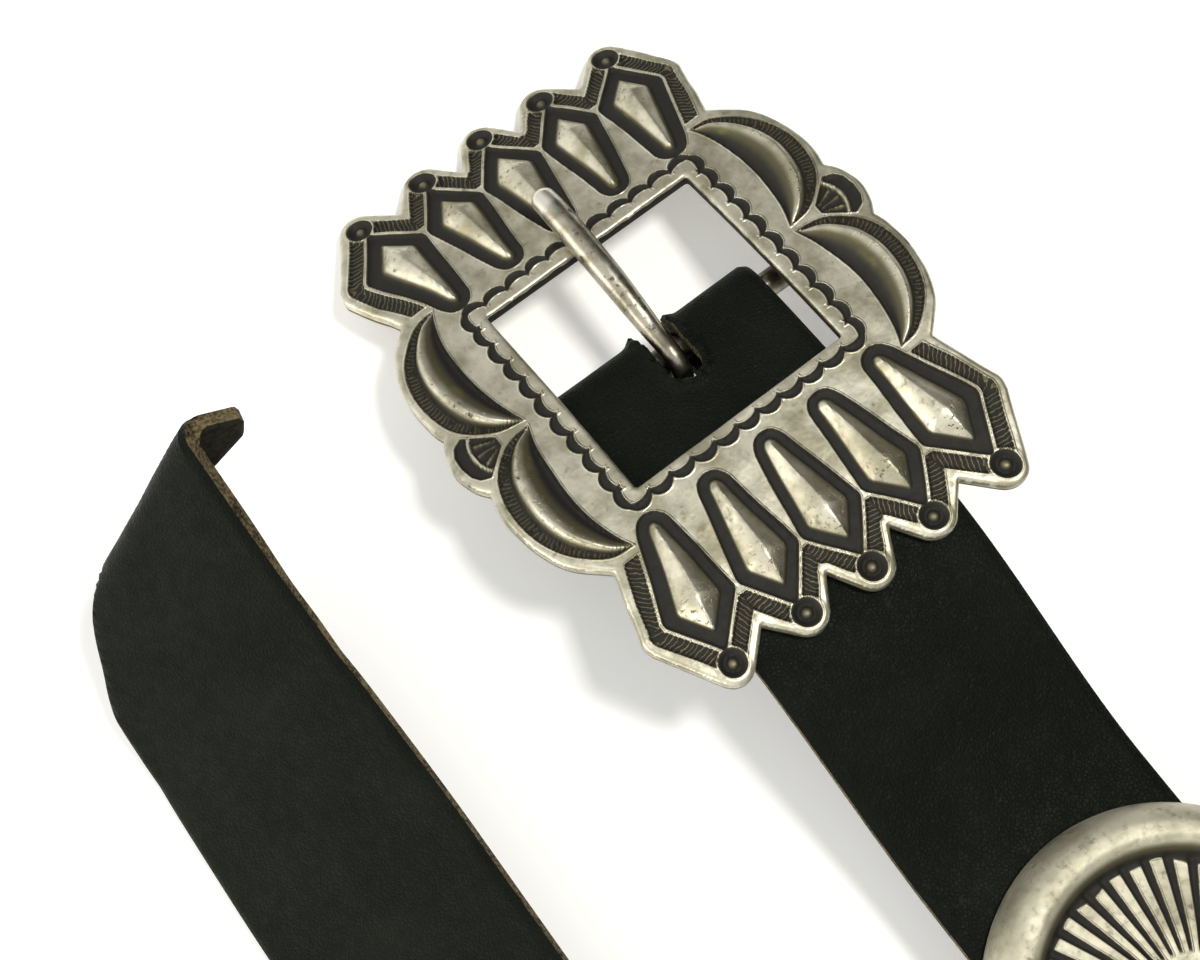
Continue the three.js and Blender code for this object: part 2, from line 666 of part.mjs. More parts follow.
/** Cross-section of the strap with bevelled edges: {w across, n off the face}. */
const strapSection = (() => {
  const side = STRAP_WIDTH / 2;
  const face = halfThickness;
  const bevel = STRAP_EDGE_BEVEL;
  return [
    [side - bevel, face], [bevel - side, face], [-side, face - bevel], [-side, bevel - face],
    [bevel - side, -face], [side - bevel, -face], [side, bevel - face], [side, face - bevel],
  ].map(([w, n]) => ({ w, n }));
})();

/** Ring of the strap's section at a frame. */
function ringAt({ place, across, face }) {
  return strapSection.map(({ w, n }) => place.clone().addScaledVector(across, w).addScaledVector(face, n));
}

/** The strap, one piece: tail under the buckle, fold round the bar, both arms and the curled tip. */
function strap() {
  const rings = [];
  const sideways = new THREE.Vector3(1, 0, 0);
  const closed = STRAP_THICKNESS + RUNNING_GAP;
  for (let s = TAIL_LENGTH; s > overBarStart + 1; s -= STEP_ALONG_STRAP) {
    const { place, along, face } = frameAt(s);
    const blend = THREE.MathUtils.smoothstep(s, overBarStart, 4 * foldRadius);
    place.addScaledVector(face, -lerp(2 * foldRadius, closed, blend));
    rings.push(ringAt({ place, along, across: sideways, face: face.clone().negate() }));
  }
  const foldSteps = 9;
  for (let i = 0; i <= foldSteps; i += 1) {
    const angle = lerp(-Math.PI / 2, Math.PI / 2, i / foldSteps);
    const out = fromBuckle(Math.cos(angle), Math.sin(angle)).sub(fromBuckle(0, 0));
    rings.push(ringAt({
      place: strapAtBar.clone().addScaledVector(out, foldRadius),
      across: sideways,
      face: out,
    }));
  }
  const breaks = [overBarStart, underBuckle[underBuckle.length - 1].at, ...leanKnots.map((knot) => knot.at)];
  breaks.slice(1).forEach((end, i) => {
    const start = breaks[i];
    const straight = Math.abs(end - start - conchoSeat) < 1e-6;
    const steps = straight ? 3 : Math.max(1, Math.ceil((end - start) / STEP_ALONG_STRAP));
    for (let k = 1; k <= steps; k += 1) {
      const s = lerp(start, end, k / steps);
      if (s < sheetStart) rings.push(ringAt(frameAt(s)));
    }
  });
  const sheet = frameAt(sheetStart);
  const place = new THREE.Matrix4().makeBasis(sheet.along, sheet.across, sheet.face).setPosition(sheet.place);
  const curlSteps = 22;
  for (let i = 0; i <= curlSteps; i += 1) {
    const u = lerp(0, sheetEnd, i / curlSteps);
    rings.push(strapSection.map(({ w, n }) => curl(u, taper(u, w), n).applyMatrix4(place)));
  }
  return cut(outward(loft(rings)), [prongSlot()]);
}

/** Slot for the prong through both layers of the fold. */
function prongSlot() {
  const rear = eyeRadius + PRONG_DIAMETER / 2 + SLOT_REAR_CLEARANCE;
  const front = 2 * foldRadius;
  const width = PRONG_DIAMETER + 2 * SLOT_SIDE_CLEARANCE;
  const slot = new THREE.Shape();
  slot.moveTo(width / 2, front);
  slot.lineTo(-width / 2, front);
  slot.lineTo(-width / 2, -rear + width / 2);
  slot.absarc(0, -rear + width / 2, width / 2, Math.PI, 2 * Math.PI, false);
  slot.lineTo(width / 2, front);
  const depth = 4 * foldRadius;
  const cutter = new THREE.ExtrudeGeometry(slot, { depth, bevelEnabled: false, curveSegments: 8 });
  cutter.translate(-PRONG_SIDE_SHIFT, BAR_ALONG, -BAR_DROP - depth / 2);
  return cutter.applyMatrix4(buckleFrameMatrix);
}

/** Domed oval concho with a hollow back and a flat loop that the strap passes through. */
function concho() {
  const segments = 24;
  const outer = CONCHO_PROFILE.map((p) => new THREE.Vector2(p.out, p.up * CONCHO_HEIGHT));
  const inset = 1 - CONCHO_SHEET / (CONCHO_WIDTH / 2);
  const inner = CONCHO_PROFILE.slice(0, -1).map((p) => {
    return new THREE.Vector2(p.out * inset, Math.max(p.up * CONCHO_HEIGHT - CONCHO_SHEET, 0));
  });
  const rim = [new THREE.Vector2(1, 0), new THREE.Vector2(inset, 0)];
  const profile = [...outer, ...rim, ...inner.reverse()].filter(
    (p, i, all) => i === 0 || p.distanceTo(all[i - 1]) > 1e-3,
  );
  const dome = new THREE.LatheGeometry(profile.reverse(), segments);
  dome.rotateX(Math.PI / 2);
  dome.scale(CONCHO_WIDTH / 2, CONCHO_LENGTH / 2, 1);
  const legInner = STRAP_WIDTH / 2 + LOOP_SIDE_CLEARANCE;
  const stripTop = -(CONCHO_SEAT_GAP + STRAP_THICKNESS + RUNNING_GAP);
  const legCentre = legInner + LOOP_STRIP_THICKNESS / 2;
  const legTop = smoothTable(CONCHO_PROFILE.map((p) => ({ at: p.out, value: p.up * CONCHO_HEIGHT })))(
    legCentre / (CONCHO_WIDTH / 2),
  ) - CONCHO_SHEET / 2;
  const legHeight = legTop - stripTop + LOOP_STRIP_THICKNESS;
  const legs = [-1, 1].map((side) => {
    const leg = new THREE.BoxGeometry(LOOP_STRIP_THICKNESS, LOOP_STRIP_WIDTH, legHeight);
    return leg.translate(side * legCentre, 0, legTop - legHeight / 2);
  });
  const strip = new THREE.BoxGeometry(2 * legInner + LOOP_STRIP_THICKNESS, LOOP_STRIP_WIDTH, LOOP_STRIP_THICKNESS);
  strip.translate(0, 0, stripTop - LOOP_STRIP_THICKNESS / 2);
  return join([outward(dome), ...legs, strip]);
}

const silver = { color: 0xbdbba6, roughness: 0.38, metalness: 1 };
const wireSilver = { color: 0xb3aea0, roughness: 0.42, metalness: 1 };
const blackLeather = { color: 0x1c1e1c, roughness: 0.55, metalness: 0 };

/** Named piece with a finish of its own. */
function piece(name, geometry, finish) {
  const mesh = new THREE.Mesh(geometry, new THREE.MeshStandardMaterial(finish));
  mesh.name = name;
  return mesh;
}

const belt = new THREE.Group();
const buckle = new THREE.Group();
buckle.applyMatrix4(buckleFrameMatrix);
buckle.add(piece('buckle_frame', buckleFrame(), silver));
buckle.add(piece('prong', prong(), wireSilver));
belt.add(buckle, piece('strap', strap(), blackLeather));

const conchoGeometry = concho();
for (let i = 0; i < CONCHO_COUNT; i += 1) {
  const mesh = piece(`concho_${i + 1}`, conchoGeometry.clone(), silver);
  const { place, along, across, face } = frameAt(placeAt(i));
  const seat = place.clone().addScaledVector(face, halfThickness + CONCHO_SEAT_GAP);
  mesh.applyMatrix4(new THREE.Matrix4().makeBasis(across, along.clone().negate(), face).setPosition(seat));
  belt.add(mesh);
}

// The origin is the middle of the belt's footprint, on the surface it lies on
belt.updateMatrixWorld(true);
const bounds = new THREE.Box3().setFromObject(belt, true);
belt.position.set(-(bounds.min.x + bounds.max.x) / 2, -(bounds.min.y + bounds.max.y) / 2, -bounds.min.z);

export default belt;
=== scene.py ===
"""Concho belt: stamped oxidised silver on a black leather strap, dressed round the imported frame.

Sizes are in millimetres, in the flat or bent coordinates that each class names, and are turned to
metres only where a mesh is made.
"""

from __future__ import annotations

import logging
import math
from collections.abc import Callable, Mapping, Sequence
from dataclasses import dataclass, field
from enum import Enum
from functools import partial

import bpy
import numpy as np
from mathutils import Matrix, Vector
from mathutils.geometry import delaunay_2d_cdt

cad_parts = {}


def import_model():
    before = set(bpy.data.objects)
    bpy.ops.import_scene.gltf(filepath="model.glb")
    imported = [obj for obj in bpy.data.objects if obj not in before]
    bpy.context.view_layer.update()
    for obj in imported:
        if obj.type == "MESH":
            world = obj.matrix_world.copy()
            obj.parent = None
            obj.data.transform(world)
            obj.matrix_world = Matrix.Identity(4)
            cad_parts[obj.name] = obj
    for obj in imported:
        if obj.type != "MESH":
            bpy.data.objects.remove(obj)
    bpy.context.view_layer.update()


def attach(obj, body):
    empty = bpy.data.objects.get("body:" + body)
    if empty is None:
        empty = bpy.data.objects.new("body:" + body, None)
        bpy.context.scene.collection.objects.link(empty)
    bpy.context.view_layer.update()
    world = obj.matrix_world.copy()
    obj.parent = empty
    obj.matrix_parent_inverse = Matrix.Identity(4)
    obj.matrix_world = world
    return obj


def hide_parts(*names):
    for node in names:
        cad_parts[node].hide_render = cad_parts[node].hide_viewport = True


LOG = logging.getLogger("concho_belt")
MM = 0.001
Array = np.ndarray
Points = tuple[tuple[float, float], ...]

BELT_SHIFT = np.array([46.7524, 185.6792, 0.1279])
BODY_BELT = "belt"
BODY_PRONG = "prong"


def smoothstep(low: float, high: float, value: Array) -> Array:
    """Smooth rise from 0 at low to 1 at high."""
    t = np.clip((value - low) / (high - low), 0.0, 1.0)
    return t * t * (3.0 - 2.0 * t)


def smooth_table(knots: Sequence[tuple[float, float]]) -> Callable[[Array], Array]:
    """Cubic through knots that keeps their order of height, with no overshoot.

    Args:
        knots: Pairs of place and value, places rising.

    Returns:
        A function that gives the value at one place or at an array of places.
    """
    at = np.array([k[0] for k in knots], float)
    value = np.array([k[1] for k in knots], float)
    slope = np.diff(value) / np.diff(at)
    before = np.concatenate([slope[:1], slope])
    after = np.concatenate([slope, slope[-1:]])
    product = before * after
    total = np.where(np.abs(before + after) < 1e-12, 1.0, before + after)
    tangent = np.where(product <= 0, 0.0, 2 * product / total)

    def read(place: Array) -> Array:
        """Value of the cubic at a place."""
        place = np.asarray(place, float)
        i = np.clip(np.searchsorted(at, place, side="right") - 1, 0, len(at) - 2)
        span = at[i + 1] - at[i]
        t = np.clip((place - at[i]) / span, 0.0, 1.0)
        return (
            (2 * t**3 - 3 * t**2 + 1) * value[i]
            + (t**3 - 2 * t**2 + t) * span * tangent[i]
            + (3 * t**2 - 2 * t**3) * value[i + 1]
            + (t**3 - t**2) * span * tangent[i + 1]
        )

    return read


def eased_corners(points: Array, size: float) -> Array:
    """Closed outline with each corner replaced by two points at a small distance from it."""
    before, after = np.roll(points, 1, axis=0) - points, np.roll(points, -1, axis=0) - points
    eased = []
    for side in (before, after):
        length = np.linalg.norm(side, axis=1)[:, None]
        eased.append(points + side / length * np.minimum(size, 0.4 * length))
    return np.stack(eased, 1).reshape(-1, 2)


def through(points: Array, steps: int) -> Array:
    """Open curve through points, with a number of steps between each two."""
    padded = np.vstack([2 * points[0] - points[1], points, 2 * points[-1] - points[-2]])
    t = np.linspace(0, 1, steps, endpoint=False)[:, None]
    runs = []
    for a, b, c, d in zip(padded, padded[1:], padded[2:], padded[3:]):
        square, cube = 2 * a - 5 * b + 4 * c - d, 3 * b - a - 3 * c + d
        runs.append(0.5 * (2 * b + (c - a) * t + square * t**2 + cube * t**3))
    return np.vstack([*runs, points[-1:]])


def wander(x: Array, y: Array, wave: float, seed: float) -> Array:
    """Slow uneven wobble between -1 and 1 over a plane, with waves of about the given length."""
    k = 2 * math.pi / wave
    return 0.5 * (
        np.sin(k * (0.83 * x + 0.41 * y) + 1.7 * seed)
        * np.cos(k * (0.37 * x - 0.71 * y) + 2.3 * seed)
        + np.sin(k * (1.31 * x - 0.67 * y) + 0.9 * seed) * np.sin(k * (0.59 * x + 1.13 * y) + 3.1 * seed)
    )


@dataclass
class Outline:
    """Closed line in a plane."""

    points: Array

    def probe(self, spots: Array) -> tuple[Array, Array, Array]:
        """Measures spots against the line.

        Args:
            spots: Array of n places, two numbers each.

        Returns:
            Distance to the line (positive inside), nearest place on it, and the way along it there.
        """
        best = np.full(len(spots), np.inf)
        nearest = np.zeros_like(spots)
        along = np.zeros(len(spots))
        inside = np.zeros(len(spots), bool)
        start = 0.0
        for a, b in zip(self.points, np.roll(self.points, -1, axis=0)):
            edge = b - a
            length = max(float(np.hypot(*edge)), 1e-9)
            share = np.clip((spots - a) @ edge / length**2, 0.0, 1.0)
            foot = a + share[:, None] * edge
            gap = np.hypot(spots[:, 0] - foot[:, 0], spots[:, 1] - foot[:, 1])
            closer = gap < best
            best[closer] = gap[closer]
            nearest[closer] = foot[closer]
            along[closer] = start + share[closer] * length
            if abs(edge[1]) > 1e-12:
                crosses = (a[1] > spots[:, 1]) != (b[1] > spots[:, 1])
                inside ^= crosses & (spots[:, 0] < a[0] + (spots[:, 1] - a[1]) * edge[0] / edge[1])
            start += length
        return np.where(inside, best, -best), nearest, along


@dataclass
class FlatSheet:
    """Flat piece of sheet with holes, cut from a grid whose edge points are moved onto the outlines."""

    outline: Outline
    holes: list[Outline]
    xs: Array
    ys: Array
    spots: Array = field(init=False)
    triangles: Array = field(init=False)
    rim: Array = field(init=False)
    edge_gap: Array = field(init=False)

    def measure(self, spots: Array) -> tuple[Array, Array]:
        """Distance to the nearest edge, positive on the sheet, and the nearest place on an edge."""
        gap, nearest, _ = self.outline.probe(spots)
        for hole in self.holes:
            hole_gap, hole_nearest, _ = hole.probe(spots)
            closer = -hole_gap < gap
            gap = np.where(closer, -hole_gap, gap)
            nearest = np.where(closer[:, None], hole_nearest, nearest)
        return gap, nearest

    def __post_init__(self) -> None:
        """Cuts the sheet: places, triangles, rim edges and each place's distance to the edge."""
        nx, ny = len(self.xs), len(self.ys)
        gx, gy = np.meshgrid(self.xs, self.ys, indexing="ij")
        spots = np.stack([gx.ravel(), gy.ravel()], 1)
        step = np.hypot(*np.meshgrid(np.gradient(self.xs), np.gradient(self.ys), indexing="ij")).ravel()
        gap, nearest = self.measure(spots)
        snap = np.abs(gap) < 0.39 * step
        spots[snap] = nearest[snap]
        gap[snap] = 0.0
        inside = gap >= 0
        index = np.arange(nx * ny).reshape(nx, ny)
        a, b = index[:-1, :-1].ravel(), index[1:, :-1].ravel()
        c, d = index[1:, 1:].ravel(), index[:-1, 1:].ravel()
        other = ~inside[a] | ~inside[c]
        first = np.where(other[:, None], np.stack([a, b, d], 1), np.stack([a, b, c], 1))
        second = np.where(other[:, None], np.stack([b, c, d], 1), np.stack([a, c, d], 1))
        triangles = np.vstack([first, second])
        triangles = triangles[inside[triangles].all(1)]
        at_edge = (gap[triangles] == 0).all(1)
        middle_gap, _ = self.measure(spots[triangles[at_edge]].mean(1))
        keep = np.ones(len(triangles), bool)
        keep[np.flatnonzero(at_edge)[middle_gap < 0]] = False
        triangles = triangles[keep]
        used, triangles = np.unique(triangles, return_inverse=True)
        self.triangles = triangles.reshape(-1, 3)
        self.spots = spots[used]
        self.edge_gap = gap[used]
        edges = np.vstack([self.triangles[:, [0, 1]], self.triangles[:, [1, 2]], self.triangles[:, [2, 0]]])
        count = len(self.spots)
        forward = edges[:, 0] * count + edges[:, 1]
        backward = edges[:, 1] * count + edges[:, 0]
        self.rim = edges[~np.isin(forward, backward)]
        self.edge_gap[np.unique(self.rim)] = 0.0


@dataclass
class Skin:
    """Triangle mesh under construction, in millimetres of the part's frame."""

    vertices: Array
    triangles: Array
    fields: dict[str, Array] = field(default_factory=dict)
    finish: Array | None = None

    @staticmethod
    def joined(skins: Sequence["Skin"]) -> "Skin":
        """One skin of several that carry the same fields."""
        starts = np.cumsum([0] + [len(s.vertices) for s in skins])
        names = skins[0].fields
        finishes = [s.finish if s.finish is not None else np.zeros(len(s.triangles), int) for s in skins]
        return Skin(
            np.vstack([s.vertices for s in skins]),
            np.vstack([s.triangles + start for s, start in zip(skins, starts)]),
            {n: np.concatenate([s.fields.get(n, np.zeros(len(s.vertices))) for s in skins]) for n in names},
            np.concatenate(finishes),
        )

    def moved(self, matrix: Array, place: Array) -> "Skin":
        """The same skin turned by a 3 x 3 matrix and moved to a place."""
        return Skin(self.vertices @ matrix.T + place, self.triangles, self.fields, self.finish)

    def to_object(
        self, name: str, materials: Sequence[bpy.types.Material], crease: float
    ) -> bpy.types.Object:
        """Makes the Blender object.

        Args:
            name: Name of the object.
            materials: Materials in the order that the finish numbers follow.
            crease: Angle in degrees beyond which an edge is shown sharp.

        Returns:
            The new object, linked to the scene.
        """
        mesh = bpy.data.meshes.new(name)
        count = len(self.triangles)
        mesh.vertices.add(len(self.vertices))
        mesh.vertices.foreach_set("co", (self.vertices * MM).astype(np.float32).ravel())
        mesh.loops.add(3 * count)
        mesh.loops.foreach_set("vertex_index", self.triangles.astype(np.int32).ravel())
        mesh.polygons.add(count)
        mesh.polygons.foreach_set("loop_start", np.arange(0, 3 * count, 3, dtype=np.int32))
        mesh.polygons.foreach_set("loop_total", np.full(count, 3, np.int32))
        mesh.polygons.foreach_set("use_smooth", np.ones(count, bool))
        if self.finish is not None:
            mesh.polygons.foreach_set("material_index", self.finish.astype(np.int32))
        mesh.update(calc_edges=True)
        mesh.validate()
        for label, values in self.fields.items():
            layer = mesh.attributes.new(label, "FLOAT", "POINT")
            layer.data.foreach_set("value", values.astype(np.float32))
        mesh.set_sharp_from_angle(angle=math.radians(crease))
        for material in materials:
            mesh.materials.append(material)
        made = bpy.data.objects.new(name, mesh)
        bpy.context.scene.collection.objects.link(made)
        return made


def tube(path: Array, radii: Array, sides: int, side: Array) -> Skin:
    """Round rod along a path, closed by a fan at each end.

    Args:
        path: Places along the middle line.
        radii: Radius at each place.
        sides: Number of faces round the rod.
        side: Direction that is never along the path, from which the ring starts.

    Returns:
        The rod's skin.
    """
    along = np.gradient(path, axis=0)
    along /= np.linalg.norm(along, axis=1)[:, None]
    across = side - (along @ side)[:, None] * along
    across /= np.linalg.norm(across, axis=1)[:, None]
    up = np.cross(along, across)
    angle = np.linspace(0, 2 * math.pi, sides, endpoint=False)
    ring = radii[:, None, None] * (
        np.cos(angle)[None, :, None] * across[:, None, :] + np.sin(angle)[None, :, None] * up[:, None, :]
    )
    vertices = (path[:, None, :] + ring).reshape(-1, 3)
    rows = len(path)
    r, k = np.meshgrid(np.arange(rows - 1), np.arange(sides), indexing="ij")
    a = (r * sides + k).ravel()
    b = (r * sides + (k + 1) % sides).ravel()
    faces = np.vstack([np.stack([a, b, b + sides], 1), np.stack([a, b + sides, a + sides], 1)])
    vertices = np.vstack([vertices, path[:1], path[-1:]])
    k = np.arange(sides)
    start_cap = np.stack([np.full(sides, rows * sides), (k + 1) % sides, k], 1)
    last = (rows - 1) * sides
    end_cap = np.stack([np.full(sides, rows * sides + 1), last + k, last + (k + 1) % sides], 1)
    return Skin(vertices, np.vstack([faces, start_cap, end_cap]))


def rounded_block(size: Array, place: Array, bevel: float) -> Skin:
    """Closed block with bevelled edges, as eight corners of three points each."""
    half = size / 2
    corners = [np.array([x, y, z]) for x in (-1, 1) for y in (-1, 1) for z in (-1, 1)]
    points = []
    for corner in corners:
        for axis in range(3):
            inward = np.full(3, bevel)
            inward[axis] = 0.0
            points.append(corner * (half - inward))
    number = {tuple(c.astype(int)): i for i, c in enumerate(corners)}
    faces: list[list[int]] = []
    for axis in range(3):
        u, v = [k for k in range(3) if k != axis]
        for sign in (-1, 1):
            quad = []
            for su, sv in ((-1, -1), (1, -1), (1, 1), (-1, 1)):
                key = [0, 0, 0]
                key[axis], key[u], key[v] = sign, su, sv
                quad.append(3 * number[tuple(key)] + axis)
            faces.append(quad)
        for su in (-1, 1):
            for sv in (-1, 1):
                low, high = [0, 0, 0], [0, 0, 0]
                low[axis], high[axis] = -1, 1
                low[u] = high[u] = su
                low[v] = high[v] = sv
                a, b = 3 * number[tuple(low)], 3 * number[tuple(high)]
                faces.append([a + u, b + u, b + v, a + v])
    for i in range(8):
        faces.append([3 * i, 3 * i + 1, 3 * i + 2])
    array = np.array(points)
    triangles = []
    for face in faces:
        ring = face
        normal = np.cross(array[ring[1]] - array[ring[0]], array[ring[2]] - array[ring[0]])
        if normal @ array[ring].mean(0) < 0:
            ring = ring[::-1]
        triangles += [[ring[0], ring[i], ring[i + 1]] for i in range(1, len(ring) - 1)]
    return Skin(array + place, np.array(triangles))


# Finishes

Socket = bpy.types.NodeSocket
Parts = Mapping[str | int, object]


class Node(Enum):
    """The node types that the finishes are made of."""

    ATTRIBUTE = "ShaderNodeAttribute"
    BACKGROUND = "ShaderNodeBackground"
    BUMP = "ShaderNodeBump"
    CELLS = "ShaderNodeTexVoronoi"
    COORDINATES = "ShaderNodeTexCoord"
    MATERIAL_OUTPUT = "ShaderNodeOutputMaterial"
    MATH = "ShaderNodeMath"
    MIX = "ShaderNodeMix"
    NOISE = "ShaderNodeTexNoise"
    PRINCIPLED = "ShaderNodeBsdfPrincipled"
    RANGE = "ShaderNodeMapRange"
    VECTOR_MATH = "ShaderNodeVectorMath"
    WORLD_OUTPUT = "ShaderNodeOutputWorld"


MULTIPLY, ADD, MULTIPLY_ADD = ({"operation": name} for name in ("MULTIPLY", "ADD", "MULTIPLY_ADD"))
SMOOTH = {"interpolation_type": "SMOOTHSTEP"}
COLOUR = {"data_type": "RGBA"}
CLOUDY = {"Roughness": 0.6}


def linear(hex_code: str) -> tuple[float, float, float, float]:
    """Linear colour of an sRGB hex value."""
    channels = [int(hex_code[i : i + 2], 16) / 255 for i in (1, 3, 5)]
    bent = [c / 12.92 if c <= 0.04045 else ((c + 0.055) / 1.055) ** 2.4 for c in channels]
    return bent[0], bent[1], bent[2], 1.0


def add_node(
    tree: bpy.types.NodeTree,
    kind: Node,
    settings: Parts | None = None,
    links: Parts | None = None,
    output: str | int = 0,
) -> Socket | None:
    """Adds a node to a tree.

    Args:
        tree: The node tree.
        kind: Type of the node.
        settings: Values by input name, input number or property name.
        links: Sockets to link in, by input name or number.
        output: Name or number of the output to hand back.

    Returns:
        That output, or None for a node without outputs.
    """
    node = tree.nodes.new(kind.value)
    for key, value in (settings or {}).items():
        if isinstance(key, int) or key in node.inputs:
            node.inputs[key].default_value = value
        else:
            setattr(node, key, value)
    for key, socket in (links or {}).items():
        tree.links.new(socket, node.inputs[key])
    return node.outputs[output] if node.outputs else None


@dataclass(frozen=True)
class Finish:
    """A surface finish, with the name of its material."""

    name: str

    def start(self) -> tuple[bpy.types.Material, Callable[..., Socket], Socket]:
        """New empty material, add_node for its tree, and coordinates in millimetres."""
        material = bpy.data.materials.new(self.name)
        material.use_nodes = True
        material.node_tree.nodes.clear()
        add = partial(add_node, material.node_tree)
        place = add(Node.COORDINATES, output="Object")
        return material, add, add(Node.VECTOR_MATH, {"operation": "SCALE", "Scale": 1 / MM}, {0: place})


@dataclass(frozen=True)
class OxidisedSilver(Finish):
    """Silver sheet, stamped and raised by hammer: worn bright on top, black sulphide left in low places.

    Sizes of the patterns are in millimetres.
    """

    # To the eye: warm pale metal with broad soft highlights, crisp black grooves and olive slopes
    bright: str = "#CFCBB9"
    warm: str = "#A09B84"
    oxide: str = "#1B1913"
    half_oxide: str = "#5A553F"
    verdigris: str = "#7A7640"
    tarnish_size: float = 7.0
    grime_size: float = 1.3
    patch_size: float = 3.4
    pit_size: float = 0.75
    dent_size: float = 3.0
    scratch_size: float = 0.22
    stagger_size: float = 1.6
    green_size: float = 4.2
    hatch_pitch: float = 0.78
    burr_width: float = 0.34
    verdigris_amount: float = 0.35
    polish: float = 0.4

    def build(self) -> bpy.types.Material:
        """Makes the material."""
        material, add, place = self.start()
        # The oxide share holds real oxide, and painted shade on the crescents' inner slopes and on the
        # window's and conchos' walls
        recess, shade, tick, hatch, pits = (
            add(Node.ATTRIBUTE, {"attribute_name": label}, output="Fac")
            for label in ("recess", "oxide", "tick", "hatch", "pits")
        )
        tarnish, grime, scratches, stagger, patches, pocks, dents, greens = (
            add(Node.NOISE, {"Scale": 1 / size, "Detail": detail, **CLOUDY}, {"Vector": place})
            for size, detail in (
                (self.tarnish_size, 4.0), (self.grime_size, 5.0), (self.scratch_size, 3.0),
                (self.stagger_size, 2.0), (self.patch_size, 5.0), (self.pit_size, 3.0),
                (self.dent_size, 2.0), (self.green_size, 4.0),
            )
        )
        # The oxide ends crisply at a punch mark's edge, a little broken by wear
        ragged = add(Node.MATH, {**MULTIPLY_ADD, 1: 0.16, 2: -0.08}, {0: grime})
        edge = add(Node.MATH, ADD, {0: recess, 1: ragged})
        low = add(Node.RANGE, {**SMOOTH, 1: -0.06, 2: 0.14}, {0: edge})
        # Thin bare ridges between hatch marks, unevenly spaced as a hand sets them
        uneven = add(Node.MATH, {**MULTIPLY_ADD, 1: 1.1}, {0: stagger, 2: tick})
        turns = add(Node.MATH, {**MULTIPLY, 1: 2 * math.pi / self.hatch_pitch}, {0: uneven})
        wave = add(Node.MATH, {"operation": "SINE"}, {0: turns})
        ridge_top = add(Node.RANGE, {**SMOOTH, 1: 0.15, 2: 1.0}, {0: wave})
        ridges = add(Node.MATH, MULTIPLY, {0: ridge_top, 1: hatch})
        # Stains creep over the flat places, and small casting pits hold oxide
        thin_stain = add(Node.RANGE, {**SMOOTH, 1: 0.48, 2: 0.78, 4: 0.26}, {0: grime})
        broad_stain = add(Node.RANGE, {**SMOOTH, 1: 0.5, 2: 0.72, 4: 0.2}, {0: patches})
        stain = add(Node.MATH, ADD, {0: thin_stain, 1: broad_stain})
        pock = add(Node.RANGE, {**SMOOTH, 1: 0.56, 2: 0.68}, {0: pocks})
        pitted = add(Node.MATH, MULTIPLY, {0: pits, 1: pock})
        stain = add(Node.MATH, {**MULTIPLY_ADD, 1: 0.4}, {0: pitted, 2: stain})
        dark = add(Node.MATH, MULTIPLY, {0: low, 1: shade})
        dark = add(Node.MATH, {**MULTIPLY_ADD, 1: -0.55}, {0: ridges, 2: dark})
        dark = add(Node.MATH, {"operation": "MAXIMUM"}, {0: dark, 1: stain})
        # Colour: clean silver, yellow-grey half oxide, then black, with a green cast on half-worn slopes
        share = add(Node.RANGE, {**SMOOTH, 1: 0.35, 2: 0.7}, {0: tarnish})
        colour = add(Node.MIX, {**COLOUR, 6: linear(self.bright), 7: linear(self.warm)}, {0: share}, 2)
        share = add(Node.RANGE, {**SMOOTH, 1: 0.0, 2: 0.55}, {0: dark})
        colour = add(Node.MIX, {**COLOUR, 7: linear(self.half_oxide)}, {0: share, 6: colour}, 2)
        share = add(Node.RANGE, {**SMOOTH, 1: 0.45, 2: 0.95}, {0: dark})
        colour = add(Node.MIX, {**COLOUR, 7: linear(self.oxide)}, {0: share, 6: colour}, 2)
        green = add(Node.RANGE, {**SMOOTH, 1: 0.56, 2: 0.7, 4: self.verdigris_amount}, {0: greens})
        rising = add(Node.RANGE, {**SMOOTH, 1: 0.05, 2: 0.4}, {0: shade})
        falling = add(Node.RANGE, {**SMOOTH, 1: 0.95, 2: 0.6}, {0: shade})
        green = add(Node.MATH, MULTIPLY, {0: green, 1: rising})
        green = add(Node.MATH, MULTIPLY, {0: green, 1: falling})
        colour = add(Node.MIX, {**COLOUR, 7: linear(self.verdigris)}, {0: green, 6: colour}, 2)
        metallic = add(Node.RANGE, {**SMOOTH, 1: 0.2, 2: 1.0, 3: 1.0, 4: 0.3}, {0: dark})
        polished = add(Node.RANGE, {**SMOOTH, 1: 0.0, 2: 1.0, 3: self.polish, 4: 0.66}, {0: dark})
        smeared = add(Node.RANGE, {**SMOOTH, 1: 0.3, 2: 0.8, 4: 0.12}, {0: grime})
        rough = add(Node.MATH, ADD, {0: polished, 1: smeared})
        # Raised burr just outside each punch mark, hatch ridges, hammer dents, scratches and pits
        outer = add(Node.RANGE, {**SMOOTH, 1: -self.burr_width, 2: -0.08}, {0: recess})
        inner = add(Node.RANGE, {**SMOOTH, 1: 0.05, 2: -0.08}, {0: recess})
        burr = add(Node.MATH, MULTIPLY, {0: outer, 1: inner})
        unpitted = add(Node.MATH, {**MULTIPLY_ADD, 1: -1.0, 2: 1.0}, {0: pitted})
        normal: dict[str, Socket] = {}
        heights = (burr, 0.1), (ridges, 0.12), (dents, 0.12), (scratches, 0.016), (unpitted, 0.07)
        for height, depth in heights:
            normal = {"Normal": add(Node.BUMP, {"Distance": depth * MM}, {"Height": height, **normal})}
        shader = add(
            Node.PRINCIPLED, links={"Base Color": colour, "Metallic": metallic, "Roughness": rough, **normal}
        )
        add(Node.MATERIAL_OUTPUT, links={"Surface": shader})
        return material


